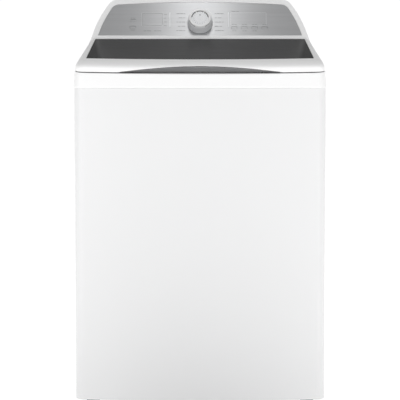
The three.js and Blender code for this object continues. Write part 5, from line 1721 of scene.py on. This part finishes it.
# ------------------------------------------------------------------ water and power fittings
def build_fittings():
    """The inlet valve and its threaded ports, with a coloured collar each, and the other water parts."""
    soft_copy("inlet_valve", 1.2)
    back = span("rear_panel")[1].y
    red, blue = (0.4, 0.03, 0.025), (0.02, 0.07, 0.32)
    crest, root, bore = 13, 11.9, 9  # radii of the ports' thread and bore
    for node, colour in (("inlet_port_hot", red), ("inlet_port_cold", blue)):
        low, high = span(node)
        x, z = (low.x + high.x) / 2, (low.z + high.z) / 2
        end = high.y
        flat = low.y + 4
        profile = [(0, low.y), (18, low.y), (18, flat - 0.2), (crest, flat)]
        turn = flat + 3
        while turn < end - 3:
            profile += [(root, turn), (crest, turn + 0.7), (crest, turn + 1.0), (root, turn + 1.7)]
            turn += 2.0
        profile += [(root, end - 0.8), (11.2, end), (9.2, end), (bore, end - 0.6)]
        profile += [(bore, low.y + 3), (0, low.y + 3)]
        port = make(node + "_look", [moved(lathe(profile, 40), along_back(x, z))])
        stand_in(port, node, angle=40)
        washer = lathe([
            (9.2, back), (17, back), (17.4, back + 0.6), (17, back + 1.6), (13.2, back + 1.6),
        ], 32, True)
        collar = make(node + "_collar", [moved(washer, along_back(x, z))])
        add_on(collar, "cabinet", "dark_plastic", grained_plastic(node + "_collar", colour, 600))
    for node in ("drain_fitting", "mains_gland", "fill_riser", "fill_duct"):
        soft_copy(node, 0.7)


def along_back(x, z):
    """Turns a shape about Z into one about a line that runs to the back."""
    return Matrix.Translation((x, 0, z)) @ Matrix.Rotation(-pi / 2, 4, "X")


def build_base():
    """The base frame and four feet on threaded stems."""
    soft_copy("base_frame", 1.0)
    for k in range(1, 5):
        node = f"foot_{k}"
        low, high = span(node)
        x, y = (low.x + high.x) / 2, (low.y + high.y) / 2
        foot = make(node + "_look", [moved(lathe([
            (0, 0), (17.5, 0), (19.4, 0.8), (20, 2.4), (20, 7), (19.2, 9), (17, 10), (6, 10), (6, 12),
            *[(5.9 if turn % 2 else 5.3, 12 + turn) for turn in range(48)],
            (5, high.z - 1), (4, high.z), (0, high.z),
        ], 36), at(x, y))])
        stand_in(foot, node, angle=45)


# ------------------------------------------------------------------ studio, in metres and degrees
CAMERA = {"place": (0, -5.343, 1.0856), "down": 4.116, "shift": -0.12}
# Painted shadow: the floor's glow is dimmed round a spot before the machine, which also darkens the light it
# throws on the cabinet's lower front.
PAINTED_FLOOR_SHADOW = {"y": -0.62, "dark": 0.05, "white": 0.8}  # the darker floor before the machine, by distance


def build_stage():
    """A white floor and room, with a painted shadow on the floor before the machine, two side cards, a
    softbox, a strip over the console, and the camera.
    """
    scene = bpy.context.scene
    settings = studio()
    floor_piece = make("studio_floor", [loft([
        [(x, y, z) for x, y in rounded(0, 0, 16000, 16000, 4000, 8)] for z in (-40, 0)
    ])])

    def floor_look(n):
        speck = n.noise(n.place(), 3, 3)
        # painted shadow: the glow is dimmest at this spot and full again by the white distance
        middle = (0, PAINTED_FLOOR_SHADOW["y"], 0)
        away = n.add("ShaderNodeVectorMath", {"operation": "DISTANCE"}, {0: n.place(), 1: middle}, "Value")
        share = n.smooth_range(away, 0.0, 1.0, PAINTED_FLOOR_SHADOW["dark"], PAINTED_FLOOR_SHADOW["white"])
        return {
            "Base Color": n.mix(speck, (0.93, 0.93, 0.93), (0.96, 0.96, 0.96)),
            "Roughness": n.range(speck, 0.8, 0.9),
            "Emission Color": n.mix(share, (0.1, 0.1, 0.1), (1, 1, 1)),
        }

    look = finish("studio_floor", floor_look, Specular_IOR_Level=0.1, Emission_Strength=0.8)
    coat(floor_piece, look)

    world = bpy.data.worlds.new("studio_room")
    scene.world = world
    world.use_nodes = True
    nodes = Nodes(world.node_tree)
    where = nodes.add("ShaderNodeTexCoord", out="Generated")
    x, _, height = nodes.split(where)
    sides = nodes.range((x * x) ** 0.5, 1.0, 0.5, 0.72, 0.95)
    share = nodes.smooth_range(height, 1.05, 0.53, 0.03, 0.25)
    background = next(n for n in world.node_tree.nodes if n.type == "BACKGROUND")
    nodes.set(background.inputs["Color"], (1, 1, 1))
    nodes.set(background.inputs["Strength"], share * sides * settings.sky)

    add_light("right_card", (1.1, -1.3, 0.42), (0.25, -0.34, 0.48), settings.card_power, (0.5, 1.1))
    add_light("left_card", (-0.95, -0.9, 0.62), (-0.33, -0.34, 0.6), settings.card_power * 0.55, (0.3, 1.1))
    add_light("front_softbox", (0.3, -2.4, 2.5), (0, -0.34, 0.8), settings.key_power, (1.8, 1.2))
    add_light("console_strip", (0, -0.16, 1.95), (0, 0.16, 1.1), settings.strip_power, (0.2, 0.5))

    data = bpy.data.cameras.new("studio_camera")
    data.lens, data.sensor_width, data.clip_end = settings.lens, 36, 100
    data.shift_y = CAMERA["shift"]
    camera = bpy.data.objects.new("studio_camera", data)
    scene.collection.objects.link(camera)
    camera.location = CAMERA["place"]
    camera.rotation_euler = (radians(90 - CAMERA["down"]), 0, 0)
    scene.camera = camera
    scene.view_settings.view_transform = "Standard"


def add_light(name, place, target, power, size):
    """A rectangular light that faces its target."""
    data = bpy.data.lights.new(name, "AREA")
    data.shape, data.size, data.size_y, data.energy = "RECTANGLE", size[0], size[1], power
    light = bpy.data.objects.new(name, data)
    bpy.context.scene.collection.objects.link(light)
    light.location = place
    light.rotation_euler = (Vector(target) - Vector(place)).to_track_quat("-Z", "Y").to_euler()


# ------------------------------------------------------------------ operators
class WASHER_OT_cabinet(bpy.types.Operator):
    """Bend the cabinet's panels and its suspension plates"""

    bl_idname = "washer.cabinet"
    bl_label = "Cabinet"

    def execute(self, context):
        build_cabinet()
        return {"FINISHED"}


class WASHER_OT_rear(bpy.types.Operator):
    """Press the rear panel, its vents and screws"""

    bl_idname = "washer.rear"
    bl_label = "Rear panel"

    def execute(self, context):
        build_rear()
        return {"FINISHED"}


class WASHER_OT_cover(bpy.types.Operator):
    """Mould the top cover and its dispenser cup"""

    bl_idname = "washer.cover"
    bl_label = "Top cover"

    def execute(self, context):
        build_cover()
        return {"FINISHED"}


class WASHER_OT_lid(bpy.types.Operator):
    """Mould the lid with its glass, grip and liner"""

    bl_idname = "washer.lid"
    bl_label = "Lid"

    def execute(self, context):
        build_lid()
        return {"FINISHED"}


class WASHER_OT_hinges(bpy.types.Operator):
    """Make the hinge brackets, lid lock and bolt"""

    bl_idname = "washer.hinges"
    bl_label = "Hinges and lock"

    def execute(self, context):
        build_hinges()
        return {"FINISHED"}


class WASHER_OT_console(bpy.types.Operator):
    """Mould the console housing"""

    bl_idname = "washer.console"
    bl_label = "Console"

    def execute(self, context):
        build_console()
        return {"FINISHED"}


class WASHER_OT_fascia(bpy.types.Operator):
    """Stamp the fascia, its display and keys"""

    bl_idname = "washer.fascia"
    bl_label = "Fascia"

    def execute(self, context):
        build_fascia()
        return {"FINISHED"}


class WASHER_OT_print(bpy.types.Operator):
    """Lay plain marks and lines on the fascia"""

    bl_idname = "washer.print"
    bl_label = "Fascia print"

    def execute(self, context):
        build_print()
        return {"FINISHED"}


class WASHER_OT_knob(bpy.types.Operator):
    """Turn the control knob and its marks"""

    bl_idname = "washer.knob"
    bl_label = "Knob"

    def execute(self, context):
        build_knob()
        return {"FINISHED"}


class WASHER_OT_tub(bpy.types.Operator):
    """Mould the outer tub and its ring"""

    bl_idname = "washer.tub"
    bl_label = "Tub"

    def execute(self, context):
        build_tub()
        return {"FINISHED"}


class WASHER_OT_basket(bpy.types.Operator):
    """Roll the wash basket, its holes and balance ring"""

    bl_idname = "washer.basket"
    bl_label = "Basket"

    def execute(self, context):
        build_basket()
        return {"FINISHED"}


class WASHER_OT_wash_plate(bpy.types.Operator):
    """Mould the wash plate and its vanes"""

    bl_idname = "washer.wash_plate"
    bl_label = "Wash plate"

    def execute(self, context):
        build_wash_plate()
        return {"FINISHED"}


class WASHER_OT_drive(bpy.types.Operator):
    """Make the pulleys, belt, motor and pump"""

    bl_idname = "washer.drive"
    bl_label = "Drive"

    def execute(self, context):
        build_drive()
        return {"FINISHED"}


class WASHER_OT_suspension(bpy.types.Operator):
    """Make the rods and wind their springs"""

    bl_idname = "washer.suspension"
    bl_label = "Suspension"

    def execute(self, context):
        build_suspension()
        return {"FINISHED"}


class WASHER_OT_fittings(bpy.types.Operator):
    """Make the valve, ports, duct and gland"""

    bl_idname = "washer.fittings"
    bl_label = "Water fittings"

    def execute(self, context):
        build_fittings()
        return {"FINISHED"}


class WASHER_OT_base(bpy.types.Operator):
    """Make the base frame and the levelling feet"""

    bl_idname = "washer.base"
    bl_label = "Base and feet"

    def execute(self, context):
        build_base()
        return {"FINISHED"}


class WASHER_OT_stage(bpy.types.Operator):
    """Set the floor, lights and camera"""

    bl_idname = "washer.stage"
    bl_label = "Studio"

    def execute(self, context):
        build_stage()
        return {"FINISHED"}


OPERATORS = [
    WASHER_OT_cabinet,
    WASHER_OT_rear,
    WASHER_OT_cover,
    WASHER_OT_lid,
    WASHER_OT_hinges,
    WASHER_OT_console,
    WASHER_OT_fascia,
    WASHER_OT_print,
    WASHER_OT_knob,
    WASHER_OT_tub,
    WASHER_OT_basket,
    WASHER_OT_wash_plate,
    WASHER_OT_drive,
    WASHER_OT_suspension,
    WASHER_OT_fittings,
    WASHER_OT_base,
    WASHER_OT_stage,
]


class WASHER_PT_panel(bpy.types.Panel):
    """Lists the pieces of the washing machine."""

    bl_idname = "WASHER_PT_panel"
    bl_label = "Washer"
    bl_space_type = "VIEW_3D"
    bl_region_type = "UI"
    bl_category = "Washer"

    def draw(self, context):
        for group in (sizes(), colours(), studio()):
            box = self.layout.box()
            for name in group.bl_rna.properties.keys():
                if name not in ("rna_type", "name"):
                    box.prop(group, name)
        for kind in OPERATORS:
            self.layout.operator(kind.bl_idname)


CLASSES = [WasherSizes, WasherColours, WasherStudio, *OPERATORS, WASHER_PT_panel]


def register():
    for kind in CLASSES:
        bpy.utils.register_class(kind)
    bpy.types.Scene.washer_sizes = PointerProperty(type=WasherSizes)
    bpy.types.Scene.washer_colours = PointerProperty(type=WasherColours)
    bpy.types.Scene.washer_studio = PointerProperty(type=WasherStudio)


def unregister():
    del bpy.types.Scene.washer_studio
    del bpy.types.Scene.washer_colours
    del bpy.types.Scene.washer_sizes
    for kind in reversed(CLASSES):
        bpy.utils.unregister_class(kind)


def main():
    register()
    for kind in OPERATORS:
        group, name = kind.bl_idname.split(".")
        getattr(getattr(bpy.ops, group), name)()


if __name__ == "__main__":
    main()
